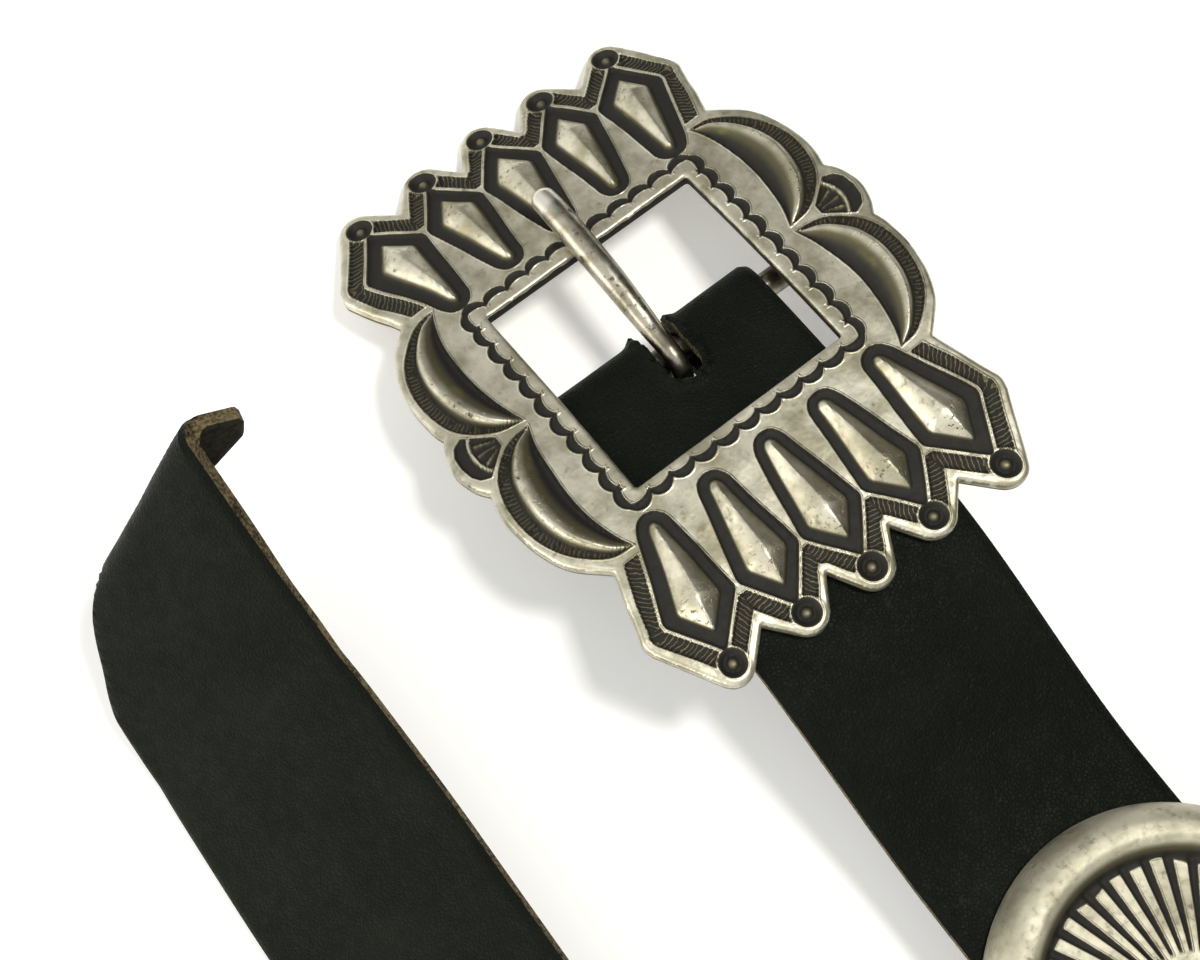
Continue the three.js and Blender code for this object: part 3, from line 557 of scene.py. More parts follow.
@dataclass(frozen=True)
class DrawnWire(Finish):
    """Silver wire drawn through a plate and filed at its end, dull from handling."""

    # To the eye: a greyer, smoother shine than the stamped sheet, brown-black spots, a bare bright tip
    body: str = "#B6B1A3"
    dull: str = "#88826F"
    spot: str = "#2B2722"
    rubbed: str = "#D5D1C6"
    tarnish_size: float = 5.0
    spot_size: float = 1.6
    file_size: float = 0.3

    def build(self) -> bpy.types.Material:
        """Makes the material."""
        material, add, place = self.start()
        worn, bare = (
            add(Node.ATTRIBUTE, {"attribute_name": label}, output="Fac") for label in ("worn", "bare")
        )
        tarnish, spots, filed = (
            add(Node.NOISE, {"Scale": 1 / size, "Detail": detail, **CLOUDY}, {"Vector": place})
            for size, detail in ((self.tarnish_size, 4.0), (self.spot_size, 4.0), (self.file_size, 2.0))
        )
        share = add(Node.RANGE, {**SMOOTH, 1: 0.35, 2: 0.7}, {0: tarnish})
        colour = add(Node.MIX, {**COLOUR, 6: linear(self.body), 7: linear(self.dull)}, {0: share}, 2)
        spotted = add(Node.RANGE, {**SMOOTH, 1: 0.55, 2: 0.7, 4: 0.85}, {0: spots})
        sooty = add(Node.RANGE, {**SMOOTH, 1: 0.0, 2: 1.0, 4: 0.9}, {0: worn})
        dark = add(Node.MATH, {"operation": "MAXIMUM"}, {0: spotted, 1: sooty})
        colour = add(Node.MIX, {**COLOUR, 7: linear(self.spot)}, {0: dark, 6: colour}, 2)
        colour = add(Node.MIX, {**COLOUR, 7: linear(self.rubbed)}, {0: bare, 6: colour}, 2)
        rough = add(Node.RANGE, {**SMOOTH, 1: 0.3, 2: 0.8, 3: 0.27, 4: 0.48}, {0: spots})
        normal = add(Node.BUMP, {"Distance": 0.12 * MM}, {"Height": tarnish})
        normal = add(Node.BUMP, {"Distance": 0.015 * MM}, {"Height": filed, "Normal": normal})
        shader = add(
            Node.PRINCIPLED, {"Metallic": 1.0}, {"Base Color": colour, "Roughness": rough, "Normal": normal}
        )
        add(Node.MATERIAL_OUTPUT, links={"Surface": shader})
        return material


@dataclass(frozen=True)
class BlackGrainLeather(Finish):
    """Vegetable-tanned belt leather, dyed black through its grain and oiled."""

    # To the eye: nearly black with a green cast, a fine pebble at arm's length, no hard highlights
    dye: str = "#080C07"
    faded: str = "#0E120C"
    sheen: str = "#C4CCD2"
    dye_size: float = 14.0
    grain: float = 0.7
    fold_size: float = 9.0
    pore_size: float = 0.45
    mottle_size: float = 2.2

    def build(self) -> bpy.types.Material:
        """Makes the material."""
        material, add, place = self.start()
        dyed, mottled, folds, pores = (
            add(Node.NOISE, {"Scale": 1 / size, "Detail": detail, **CLOUDY}, {"Vector": place})
            for size, detail in (
                (self.dye_size, 4.0), (self.mottle_size, 3.0), (self.fold_size, 3.0), (self.pore_size, 3.0),
            )
        )
        cells = add(Node.CELLS, {"Scale": 1 / self.grain, "feature": "DISTANCE_TO_EDGE"}, {"Vector": place})
        share = add(Node.RANGE, {**SMOOTH, 1: 0.35, 2: 0.75}, {0: dyed})
        colour = add(Node.MIX, {**COLOUR, 6: linear(self.dye), 7: linear(self.faded)}, {0: share}, 2)
        rough = add(Node.RANGE, {**SMOOTH, 1: 0.3, 2: 0.75, 3: 0.42, 4: 0.6}, {0: mottled})
        pebble = add(Node.RANGE, {**SMOOTH, 1: 0.0, 2: 0.22}, {0: cells})
        normal = add(Node.BUMP, {"Distance": 0.3 * MM}, {"Height": folds})
        normal = add(Node.BUMP, {"Distance": 0.06 * MM}, {"Height": pebble, "Normal": normal})
        normal = add(Node.BUMP, {"Distance": 0.08 * MM}, {"Height": pores, "Normal": normal})
        settings = {
            "Specular IOR Level": 0.07,
            "Sheen Weight": 0.05,
            "Sheen Roughness": 0.35,
            "Sheen Tint": linear(self.sheen),
        }
        shader = add(Node.PRINCIPLED, settings, {"Base Color": colour, "Roughness": rough, "Normal": normal})
        add(Node.MATERIAL_OUTPUT, links={"Surface": shader})
        return material


@dataclass(frozen=True)
class RawLeather(Finish):
    """Leather as the knife leaves it: the cut edge, or the suede of the flesh side."""

    # To the eye: matt brown fibres at the edge, a darker grey-brown nap behind, no highlight on either
    light: str = "#76694C"
    deep: str = "#1F1B12"
    fibre: float = 0.5
    nap_size: float = 3.0

    def build(self) -> bpy.types.Material:
        """Makes the material."""
        material, add, place = self.start()
        fibres, nap = (
            add(Node.NOISE, {"Scale": 1 / size, "Detail": detail, **CLOUDY}, {"Vector": place})
            for size, detail in ((self.fibre, 5.0), (self.nap_size, 4.0))
        )
        mixed = add(Node.MATH, {**MULTIPLY, 1: 0.4}, {0: nap})
        mixed = add(Node.MATH, {**MULTIPLY_ADD, 1: 0.6}, {0: fibres, 2: mixed})
        share = add(Node.RANGE, {**SMOOTH, 1: 0.38, 2: 0.62}, {0: mixed})
        colour = add(Node.MIX, {**COLOUR, 6: linear(self.deep), 7: linear(self.light)}, {0: share}, 2)
        normal = add(Node.BUMP, {"Distance": 0.28 * MM}, {"Height": fibres})
        normal = add(Node.BUMP, {"Distance": 0.3 * MM}, {"Height": nap, "Normal": normal})
        settings = {
            "Roughness": 0.85, "Specular IOR Level": 0.1, "Sheen Weight": 0.02, "Sheen Roughness": 0.6
        }
        shader = add(Node.PRINCIPLED, settings, {"Base Color": colour, "Normal": normal})
        add(Node.MATERIAL_OUTPUT, links={"Surface": shader})
        return material


@dataclass(frozen=True)
class PaperSweep(Finish):
    """White paper of a product table, lit from behind as well as from above."""

    # To the eye: almost pure white, with pale grey shadows that never turn dark
    paper: str = "#F4F4F2"
    shaded: str = "#F1F1EF"
    cloud_size: float = 300.0
    glow: float = 0.22

    def build(self) -> bpy.types.Material:
        """Makes the material."""
        material, add, place = self.start()
        cloud = add(Node.NOISE, {"Scale": 1 / self.cloud_size, "Detail": 2.0, **CLOUDY}, {"Vector": place})
        share = add(Node.RANGE, {**SMOOTH, 1: 0.3, 2: 0.7}, {0: cloud})
        colour = add(Node.MIX, {**COLOUR, 6: linear(self.paper), 7: linear(self.shaded)}, {0: share}, 2)
        settings = {"Roughness": 0.8, "Emission Color": linear("#FFFFFF"), "Emission Strength": self.glow}
        shader = add(Node.PRINCIPLED, settings, {"Base Color": colour})
        add(Node.MATERIAL_OUTPUT, links={"Surface": shader})
        return material


# Buckle


@dataclass
class BucklePlace:
    """Where the buckle lies: its own frame has x across, y along its length and z out of its face."""

    bend_radius: float = 250.0
    pitch_degrees: float = 15.0
    height: float = 22.0403
    drifts: tuple[tuple[float, float, float, float, float], ...] = (
        (-36.0, 38.0, 8.0, -1.2, -0.8), (27.0, -53.0, 9.0, 0.3, -1.4), (34.0, 40.5, 7.0, -0.8, -0.3),
    )

    @property
    def turn(self) -> Array:
        """Rotation from the buckle's frame to the part's."""
        c, s = math.cos(math.radians(self.pitch_degrees)), math.sin(math.radians(self.pitch_degrees))
        return np.array([[1, 0, 0], [0, c, s], [0, -s, c]])

    @property
    def origin(self) -> Array:
        """Middle of the plate's front face in the part's frame."""
        return BELT_SHIFT + [0.0, 0.0, self.height]

    def bent(self, x: Array, y: Array, height: Array) -> Array:
        """Places of the bent plate in the buckle's frame, from flat places and heights over the front face.

        Corners that the hammer drove out or in are moved as a whole, pattern and edge together.
        """
        shift_x, shift_y = np.zeros_like(x), np.zeros_like(y)
        for centre_x, centre_y, reach, out_x, out_y in self.drifts:
            share = np.exp(-((x - centre_x) ** 2 + (y - centre_y) ** 2) / reach**2)
            shift_x, shift_y = shift_x + out_x * share, shift_y + out_y * share
        x, y = x + shift_x, y + shift_y
        angle = y / self.bend_radius
        radius = self.bend_radius + height
        return np.stack([x, radius * np.sin(angle), radius * np.cos(angle) - self.bend_radius], -1)

    def front(self, y: float) -> float:
        """Height of the front face in the buckle's frame over a place along it."""
        return math.sqrt(self.bend_radius**2 - y**2) - self.bend_radius


@dataclass
class Ornament:
    """The buckle's stamped and raised pattern over flat places in one quarter of the plate.

    Lines run round each punch mark: the dark grooves round the petals, the feet of the raised petals in
    them, the crescents from their far to their near tip, and the small fan between two crescents.
    """

    petal_frames: tuple[Points, ...] = (
        (
            (0, 24.6), (1.8, 25.1), (2.9, 26.8), (5.9, 41.9), (0, 49.8), (-5.9, 41.9), (-2.9, 26.8),
            (-1.8, 25.1),
        ),
        (
            (7.9, 26.8), (8.9, 25.1), (10.7, 24.6), (12.6, 25.1), (13.6, 26.8), (17.7, 41.6),
            (12.5, 49.6), (6.3, 41.9),
        ),
        (
            (19.1, 26.2), (20.2, 24.6), (22.0, 23.9), (23.9, 24.5), (25.2, 26.4), (30.7, 40.0),
            (25.5, 48.7), (18.1, 41.8),
        ),
    )
    petal_feet: tuple[Points, ...] = (
        ((0, 25.8), (1.3, 26.6), (4.1, 41.2), (0, 46.7), (-4.1, 41.2), (-1.3, 26.6)),
        ((9.3, 26.7), (10.6, 25.8), (11.9, 26.7), (15.6, 41.0), (12.3, 46.3), (8.0, 41.3)),
        ((20.8, 26.3), (22.0, 25.4), (23.2, 26.3), (28.2, 40.0), (25.0, 45.7), (20.2, 41.0)),
    )
    crescent_inner: Points = (
        (26.2, 27.2), (27.5, 24.2), (28.6, 19.8), (29.0, 14.5), (28.7, 9.5), (27.9, 4.6), (26.5, 0.5),
    )
    crescent_outer: Points = (
        (26.2, 27.2), (30.3, 26.4), (35.0, 22.2), (37.5, 16.7), (37.9, 11.0), (36.0, 5.4), (31.5, 1.5),
        (26.5, 0.5),
    )
    crescent_profile: Points = (
        (0, 0), (0.08, 0.02), (0.26, 0.45), (0.5, 0.92), (0.59, 1.0), (0.67, 0.75), (0.76, 0.04), (1, 0),
    )
    # Oxide share across a crescent, inner edge to outer edge: oxide in both grooves, with painted shade
    # carried up the inner slope
    crescent_oxide_and_shade: Points = (
        (0, 1), (0.14, 1), (0.25, 0.82), (0.4, 0.5), (0.52, 0.12), (0.6, 0), (0.68, 0.1), (0.75, 0.95),
        (1, 0.84),
    )
    crescent_width: float = 8.6
    fan: Points = (
        (32.0, 0.9), (36.4, 4.4), (38.0, 3.7), (38.9, 2.3), (39.2, 0), (38.9, -2.3), (38.0, -3.7),
        (36.4, -4.4), (32.0, -0.9),
    )
    fan_root: float = 30.6
    ray_angle: float = 0.36
    lobe_dots: Points = ((0.0, 51.9), (12.3, 51.3), (25.9, 50.6))
    dot_radius: float = 2.3
    groove_depth: float = 0.6
    petal_height: float = 2.5
    crescent_height: float = 2.3
    scallop_pitch: float = 4.2
    scallop_reach: tuple[float, float] = (24.3, 23.8)
    scallop_radii: tuple[float, float] = (2.35, 3.5)
    scallop_width: float = 1.6
    scallop_depth: float = 0.45
    hatch_width: float = 2.5
    frame_line: float = 0.52
    rim_line: float = 1.35

    def petals(self, spots: Array, far: Array) -> tuple[Array, Array, Array, Array]:
        """Grooves and bosses of the petals.

        Args:
            spots: Flat places in the quarter.
            far: 1 on the far half of the plate, where more oxide is left, and -1 on the near half.

        Returns:
            Distance into the grooves' outline, height of the bosses, share of oxide, and the way
            along the nearest groove's edge.
        """
        recess = np.full(len(spots), -np.inf)
        along = np.zeros(len(spots))
        boss = np.zeros(len(spots))
        for frame, foot in zip(self.petal_frames, self.petal_feet):
            gap, _, way = Outline(eased_corners(np.array(frame, float), 0.45)).probe(spots)
            nearer = gap > recess
            along = np.where(nearer, way, along)
            recess = np.maximum(recess, gap)
            depth, _, _ = Outline(eased_corners(np.array(foot, float), 0.5)).probe(spots)
            rise = np.clip(depth / 3.5, 0, 1)
            boss = np.maximum(boss, self.petal_height * (0.4 * rise + 0.6 * (1 - (1 - rise) ** 2)))
        shade = 1 - smoothstep(0.06, 0.95 + 0.3 * far, boss)
        return recess, boss, shade, along

    def crescents(self, spots: Array) -> dict[str, Array]:
        """Grooves and bosses of the crescents, as for the petals, with the share of hatching."""
        inner, outer = (
            through(np.array(line, float), 6) for line in (self.crescent_inner, self.crescent_outer)
        )
        region = Outline(np.vstack([outer, inner[::-1][1:-1]]))
        gap, _, _ = region.probe(spots)
        closed_inner = Outline(np.vstack([inner, inner[::-1]]))
        closed_outer = Outline(np.vstack([outer, outer[::-1]]))
        from_inner = np.abs(closed_inner.probe(spots)[0])
        outer_gap, _, way = closed_outer.probe(spots)
        from_outer = np.abs(outer_gap)
        width = from_inner + from_outer
        share = from_inner / np.maximum(width, 1e-6)
        swell = np.clip(width / self.crescent_width, 0, 1) ** 0.8
        profile = smooth_table(self.crescent_profile)(share)
        boss = np.where(gap > 0, self.crescent_height * swell * profile, 0)
        # Oxide in the grooves, and painted shade on the inner slope
        shade = smooth_table(self.crescent_oxide_and_shade)(share)
        hatched = 0.6 * smoothstep(0.75, 0.81, share) * (gap > 0)
        return {"recess": gap, "boss": boss, "shade": shade, "tick": way, "hatch": hatched}

    def fans(self, spots: Array) -> tuple[Array, Array, Array]:
        """Distance into the fan, height of its rays and moon, and share of oxide."""
        gap, _, _ = Outline(np.array(self.fan, float)).probe(spots)
        out, side = spots[:, 0] - self.fan_root, spots[:, 1]
        reach, angle = np.hypot(out, side), np.arctan2(side, out)
        rays = smoothstep(0.3, 0.95, np.cos(angle * 2 * math.pi / self.ray_angle))
        rays = rays * smoothstep(5.7, 5.3, reach)
        rays = rays * smoothstep(1.6, 2.6, reach)
        moon = smoothstep(5.6, 5.9, reach) * smoothstep(6.6, 6.3, reach)
        raised = np.where(gap > 0.15, np.maximum(0.35 * rays, 0.6 * moon), 0)
        return gap, raised, 1 - np.maximum(0.62 * rays, 0.9 * moon)

    def scallops(self, spots: Array, far: Array) -> Array:
        """Distance into the chain of crescent punch marks round the window.

        Args:
            spots: Flat places in the quarter.
            far: 1 on the far half of the plate and -1 on the near half, which was struck closer in.

        Returns:
            The distance, positive inside a mark.
        """
        recess = np.full(len(spots), -np.inf)
        x, y = spots[:, 0], spots[:, 1] - 0.35 * far
        reach_x, reach_y = self.scallop_reach
        bulge, hollow = self.scallop_radii
        for k in range(6):
            centre = k * self.scallop_pitch
            for out, along, reach in ((y, x - centre, reach_y), (x, y - min(centre, 20.4), reach_x)):
                outer = bulge - np.hypot(out - reach + bulge, along)
                inner = np.hypot(out - reach + self.scallop_width + hollow, along) - hollow
                recess = np.maximum(recess, np.minimum(outer, inner))
        return recess

    def dots(self, spots: Array) -> tuple[Array, Array]:
        """Distance into the nearest round punch mark, and height of its floor."""
        reach = np.min([np.hypot(spots[:, 0] - x, spots[:, 1] - y) for x, y in self.lobe_dots], 0)
        bowl = -0.85 * smoothstep(self.dot_radius, 1.2, reach) + 0.7 * smoothstep(1.35, 0.3, reach)
        ring = 0.14 * smoothstep(self.dot_radius + 0.7, self.dot_radius + 0.35, reach)
        ring = ring * smoothstep(self.dot_radius - 0.1, self.dot_radius + 0.2, reach)
        return self.dot_radius - reach, bowl + ring

    def fields(self, x: Array, y: Array, edge_gap: Array) -> dict[str, Array]:
        """Height and finish of the face.

        Args:
            x: Flat places across the plate.
            y: Flat places along it.
            edge_gap: Distance of each place from the plate's edge.

        Returns:
            Height over the plain face, distance into a recess, share of oxide and painted shade,
            way along the hatching, share of hatching and share of casting pits.
        """
        warped_x = x + 0.2 * wander(x, y, 23.0, 1.0)
        warped_y = y + 0.2 * wander(x, y, 27.0, 2.0)
        spots = np.stack([np.abs(warped_x), np.abs(warped_y)], 1)
        petal_gap, boss, shade, along = self.petals(spots, np.sign(y))
        crescent = self.crescents(spots)
        fan_gap, fan_raised, fan_shade = self.fans(spots)
        chain_gap = self.scallops(spots, np.sign(y))
        dot_gap, dot_floor = self.dots(spots)
        outside = -petal_gap
        # Hatched band outside the petals, held off the rim, the crescents and the dots
        above = spots[:, 1] - np.where(spots[:, 0] < 25.0, 43.2, 28.6)
        band = np.min([
            outside - self.frame_line, self.frame_line + self.hatch_width - outside,
            edge_gap - self.rim_line, above, -0.5 - crescent["recess"], -dot_gap - 0.25,
        ], 0)
        recess = np.max([petal_gap, crescent["recess"], fan_gap, chain_gap, dot_gap, band], 0)
        low = np.max([petal_gap, crescent["recess"], fan_gap, band], 0)
        groove = -self.groove_depth * smoothstep(0.0, 0.4, low)
        groove += -self.scallop_depth * smoothstep(0.0, 0.35, chain_gap)
        height = groove + boss + crescent["boss"] + fan_raised + dot_floor
        in_petal, in_crescent, in_fan = petal_gap > 0, crescent["recess"] > 0, fan_gap > 0
        oxide = np.ones(len(spots))
        oxide = np.where(in_petal, shade, oxide)
        oxide = np.where(in_crescent, crescent["shade"], oxide)
        oxide = np.where(in_fan, fan_shade, oxide)
        oxide = np.where(dot_gap > 1.1, 1 - 0.6 * smoothstep(1.3, 1.9, dot_gap), oxide)
        hatch = np.where(band > 0, 1.0, np.where(in_crescent, crescent["hatch"], 0.0))
        tick = np.where(in_crescent, crescent["tick"], along + 0.45 * outside)
        height += 0.07 * wander(x, y, 9.0, 3.0) + 0.1 * wander(x, y, 31.0, 4.0)
        pits = smoothstep(0.1, 1.2, boss) * smoothstep(36.0, 42.0, spots[:, 1])
        pits = np.maximum(pits, 0.7 * smoothstep(0.6, 1.8, crescent["boss"]))
        return {
            "height": height, "recess": recess, "oxide": oxide, "tick": tick, "hatch": hatch, "pits": pits
        }


@dataclass
class FrameBuckle:
    """Bent silver plate with its window, and the bar soldered behind it."""

    place: BucklePlace
    silver: OxidisedSilver
    wire: DrawnWire
    length: float = 111.0
    width: float = 81.0
    thickness: float = 2.2
    window_length: float = 40.0
    window_width: float = 40.6
    window_round: float = 0.35
    lobe_radius: float = 3.6
    grid: float = 0.27
    rim_round: float = 0.8
    rim_drop: float = 0.55
    window_drop: float = 0.3
    bar_diameter: float = 4.5
    bar_along: float = -1.6
    bar_drop: float = 7.65
    solder_margin: float = 6.0
    ornament: Ornament = field(default_factory=Ornament)

    lobes: Points = ((0.0, 0.932), (0.302, 0.923), (0.64, 0.911))
    notches: Points = ((0.15, 0.87), (0.467, 0.879))
    shoulder: Points = ((0.852, 0.766), (0.862, 0.729), (0.841, 0.68), (0.773, 0.516))
    crescent_edge: Points = (
        (0.773, 0.516), (0.81, 0.49), (0.889, 0.43), (0.941, 0.345), (0.965, 0.25), (0.961, 0.165),
        (0.946, 0.113),
    )
    fan_edge: Points = ((0.946, 0.113), (0.979, 0.073), (0.996, 0.03), (1.0, 0.0))

    def scaled(self, shares: Sequence[tuple[float, float]]) -> Array:
        """Flat places from shares of the half width and half length."""
        return np.array(shares) * [self.width / 2, self.length / 2]

    def lobe_arc(self, centre: Array, start: Array | None, end: Array) -> Array:
        """Points round a lobe, clockwise from where a line from one notch touches it to the next."""

        def touch(point: Array, side: int) -> float:
            """Angle at which a line from a point touches the lobe."""
            dx, dy = point - centre
            return math.atan2(dy, dx) + side * math.acos(min(self.lobe_radius / math.hypot(dx, dy), 1.0))

        first = math.pi / 2 if start is None else touch(start, -1) % (2 * math.pi)
        last = touch(end, 1)
        if last > math.pi:
            last -= 2 * math.pi
        angle = np.linspace(first, last, 14)
        return centre + self.lobe_radius * np.stack([np.cos(angle), np.sin(angle)], 1)

    def outline(self) -> Outline:
        """The plate's edge in flat places, mirrored from one quarter."""
        lobes, notches = self.scaled(self.lobes), self.scaled(self.notches)
        side = through(self.scaled(self.shoulder), 4)[:-1]
        crescent = through(self.scaled(self.crescent_edge), 4)[:-1]
        fan = through(self.scaled(self.fan_edge), 4)[:-1]
        quarter = np.vstack([
            self.lobe_arc(lobes[0], None, notches[0]), notches[:1],
            self.lobe_arc(lobes[1], notches[0], notches[1]), notches[1:],
            self.lobe_arc(lobes[2], notches[1], side[0]), side, crescent, fan,
        ])
        right = np.vstack([quarter, [[self.width / 2, 0.0]], (quarter * [1, -1])[::-1]])
        loop = np.vstack([right, (right[1:-1] * [-1, 1])[::-1]])[::-1]
        x, y = loop.T
        filed = np.stack([x + 0.12 * wander(x, y, 11.0, 5.0), y + 0.12 * wander(x, y, 13.0, 6.0)], 1)
        return Outline(filed)

    def window(self) -> Outline:
        """The window's edge, with small rounds in its corners."""
        half_x, half_y, small = self.window_width / 2, self.window_length / 2, self.window_round
        quarter = [(half_x, half_y - small), (half_x - small, half_y)]
        corners = [(sx * x, sy * y) for sx in (-1, 1) for sy in (-1, 1) for x, y in quarter]
        return Outline(np.array(sorted(corners, key=lambda p: math.atan2(p[1], p[0]))))

    def back(self, sheet: FlatSheet) -> tuple[Array, Array]:
        """Sparse triangles of the plain back, ending on the face's own rim points.

        Args:
            sheet: The cut face.

        Returns:
            Flat places, of which the first are the rim's, and triangles.
        """
        rim = np.unique(sheet.rim)
        number = {int(v): i for i, v in enumerate(rim)}
        edges = [(number[int(a)], number[int(b)]) for a, b in sheet.rim]
        gx, gy = np.meshgrid(np.arange(-39, 40, 3.0), np.arange(-54, 55, 3.0))
        inner = np.stack([gx.ravel(), gy.ravel()], 1)
        gap, _ = sheet.measure(inner)
        inner = inner[gap > 1.2]
        places = np.vstack([sheet.spots[rim], inner])
        found = delaunay_2d_cdt([Vector(p) for p in places.tolist()], edges, [], 0, 1e-7)
        source = [origin[0] if origin else -1 for origin in found[3]]
        triangles = np.array([[source[v] for v in face] for face in found[2]])
        triangles = triangles[(triangles >= 0).all(1)]
        middle_gap, _ = sheet.measure(places[triangles].mean(1))
        triangles = triangles[middle_gap > 0]
        a, b, c = (places[triangles[:, k]] for k in range(3))
        turned = (b - a)[:, 0] * (c - a)[:, 1] - (b - a)[:, 1] * (c - a)[:, 0] > 0
        triangles[turned] = triangles[turned][:, ::-1]
        return places, triangles

    def plate(self) -> Skin:
        """Skin of the plate, in the buckle's frame."""
        xs = np.arange(-42.12, 42.13, self.grid)
        ys = np.arange(-57.24, 57.25, self.grid)
        sheet = FlatSheet(self.outline(), [self.window()], xs, ys)
        x, y = sheet.spots.T
        fields = self.ornament.fields(x, y, sheet.edge_gap)
        height = fields.pop("height")
        near = np.clip(1 - sheet.edge_gap / self.rim_round, 0, 1)
        window_side = (np.abs(x) < self.window_width / 2 + 2) & (np.abs(y) < self.window_length / 2 + 2)
        drop = np.where(window_side, self.window_drop, self.rim_drop)
        height -= drop * (1 - np.sqrt(np.clip(1 - near**2, 0, 1)))
        face = self.place.bent(x, y, height)
        back_places, back_triangles = self.back(sheet)
        back = self.place.bent(*back_places.T, np.full(len(back_places), -self.thickness))
        rim = np.unique(sheet.rim)
        to_back = np.zeros(len(sheet.spots), int)
        to_back[rim] = len(sheet.spots) + np.arange(len(rim))
        a, b = sheet.rim.T
        wall = np.vstack([np.stack([b, a, to_back[a]], 1), np.stack([b, to_back[a], to_back[b]], 1)])
        triangles = np.vstack([sheet.triangles, back_triangles + len(sheet.spots), wall])
        padding = np.zeros(len(back_places))
        # The window's wall is painted near black as the shade that falls inside it, and the outer edge is a
        # little dull
        painted_shade_at_window = (np.abs(back_places) < self.window_length / 2 + 1).all(1)
        dull = np.where(painted_shade_at_window, 0.95, 0.3) * (np.arange(len(back_places)) < len(rim))
        depth = np.select([dull > 0.5, dull > 0], [6.0, 1.0], -1.0)
        grown = {"recess": depth, "oxide": dull, "tick": padding, "hatch": padding, "pits": padding}
        fields = {name: np.concatenate([values, grown[name]]) for name, values in fields.items()}
        return Skin(np.vstack([face, back]), triangles, fields)

    def bar(self) -> Skin:
        """Skin of the bar with its turned-up ends and solder, in the buckle's frame."""
        ends = self.window_width / 2 + self.solder_margin
        bend = self.bar_diameter / 2
        rise = self.bar_drop - self.thickness * 0.75
        half = [(ends - 9, 0), (ends - bend, 0), (ends - 0.3 * bend, 0.3 * bend), (ends, bend), (ends, rise)]
        right = through(np.array(half), 8)
        flat = np.vstack([(right * [-1, 1])[::-1], right])
        path = np.stack([flat[:, 0], np.full(len(flat), self.bar_along), flat[:, 1] - self.bar_drop], 1)
        radii = np.full(len(path), self.bar_diameter / 2)
        rod = tube(path, radii, 20, np.array([0.0, 1.0, 0.0]))
        skins = [rod]
        for sign in (-1, 1):
            top = np.array([sign * ends, self.bar_along, -self.thickness + 0.2])
            rows = [(-2.2, 2.3), (-1.2, 2.7), (-0.5, 3.5), (0.0, 4.3), (0.4, 4.3)]
            fillet = np.array([top + [0, 0, z] for z, _ in rows])
            skins.append(tube(fillet, np.array([r for _, r in rows]), 20, np.array([0.0, 1.0, 0.0])))
        joined = Skin.joined(skins)
        x, _, z = joined.vertices.T
        worn = np.clip(0.5 + 0.5 * wander(x, z, 7.0, 2.0), 0, 1)
        joined.fields = {"bare": np.zeros(len(x)), "worn": worn}
        return joined

    def build(self) -> list[bpy.types.Object]:
        """Makes the plate and the bar."""
        silver, wire = self.silver.build(), self.wire.build()
        plate = self.plate().moved(self.place.turn, self.place.origin).to_object("buckle_plate", [silver], 50)
        bar = self.bar().moved(self.place.turn, self.place.origin).to_object("buckle_bar", [wire], 40)
        for made in (plate, bar):
            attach(made, BODY_BELT)
            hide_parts("buckle_frame")
        LOG.info("buckle: %d triangles", len(plate.data.polygons) + len(bar.data.polygons))
        return [plate, bar]


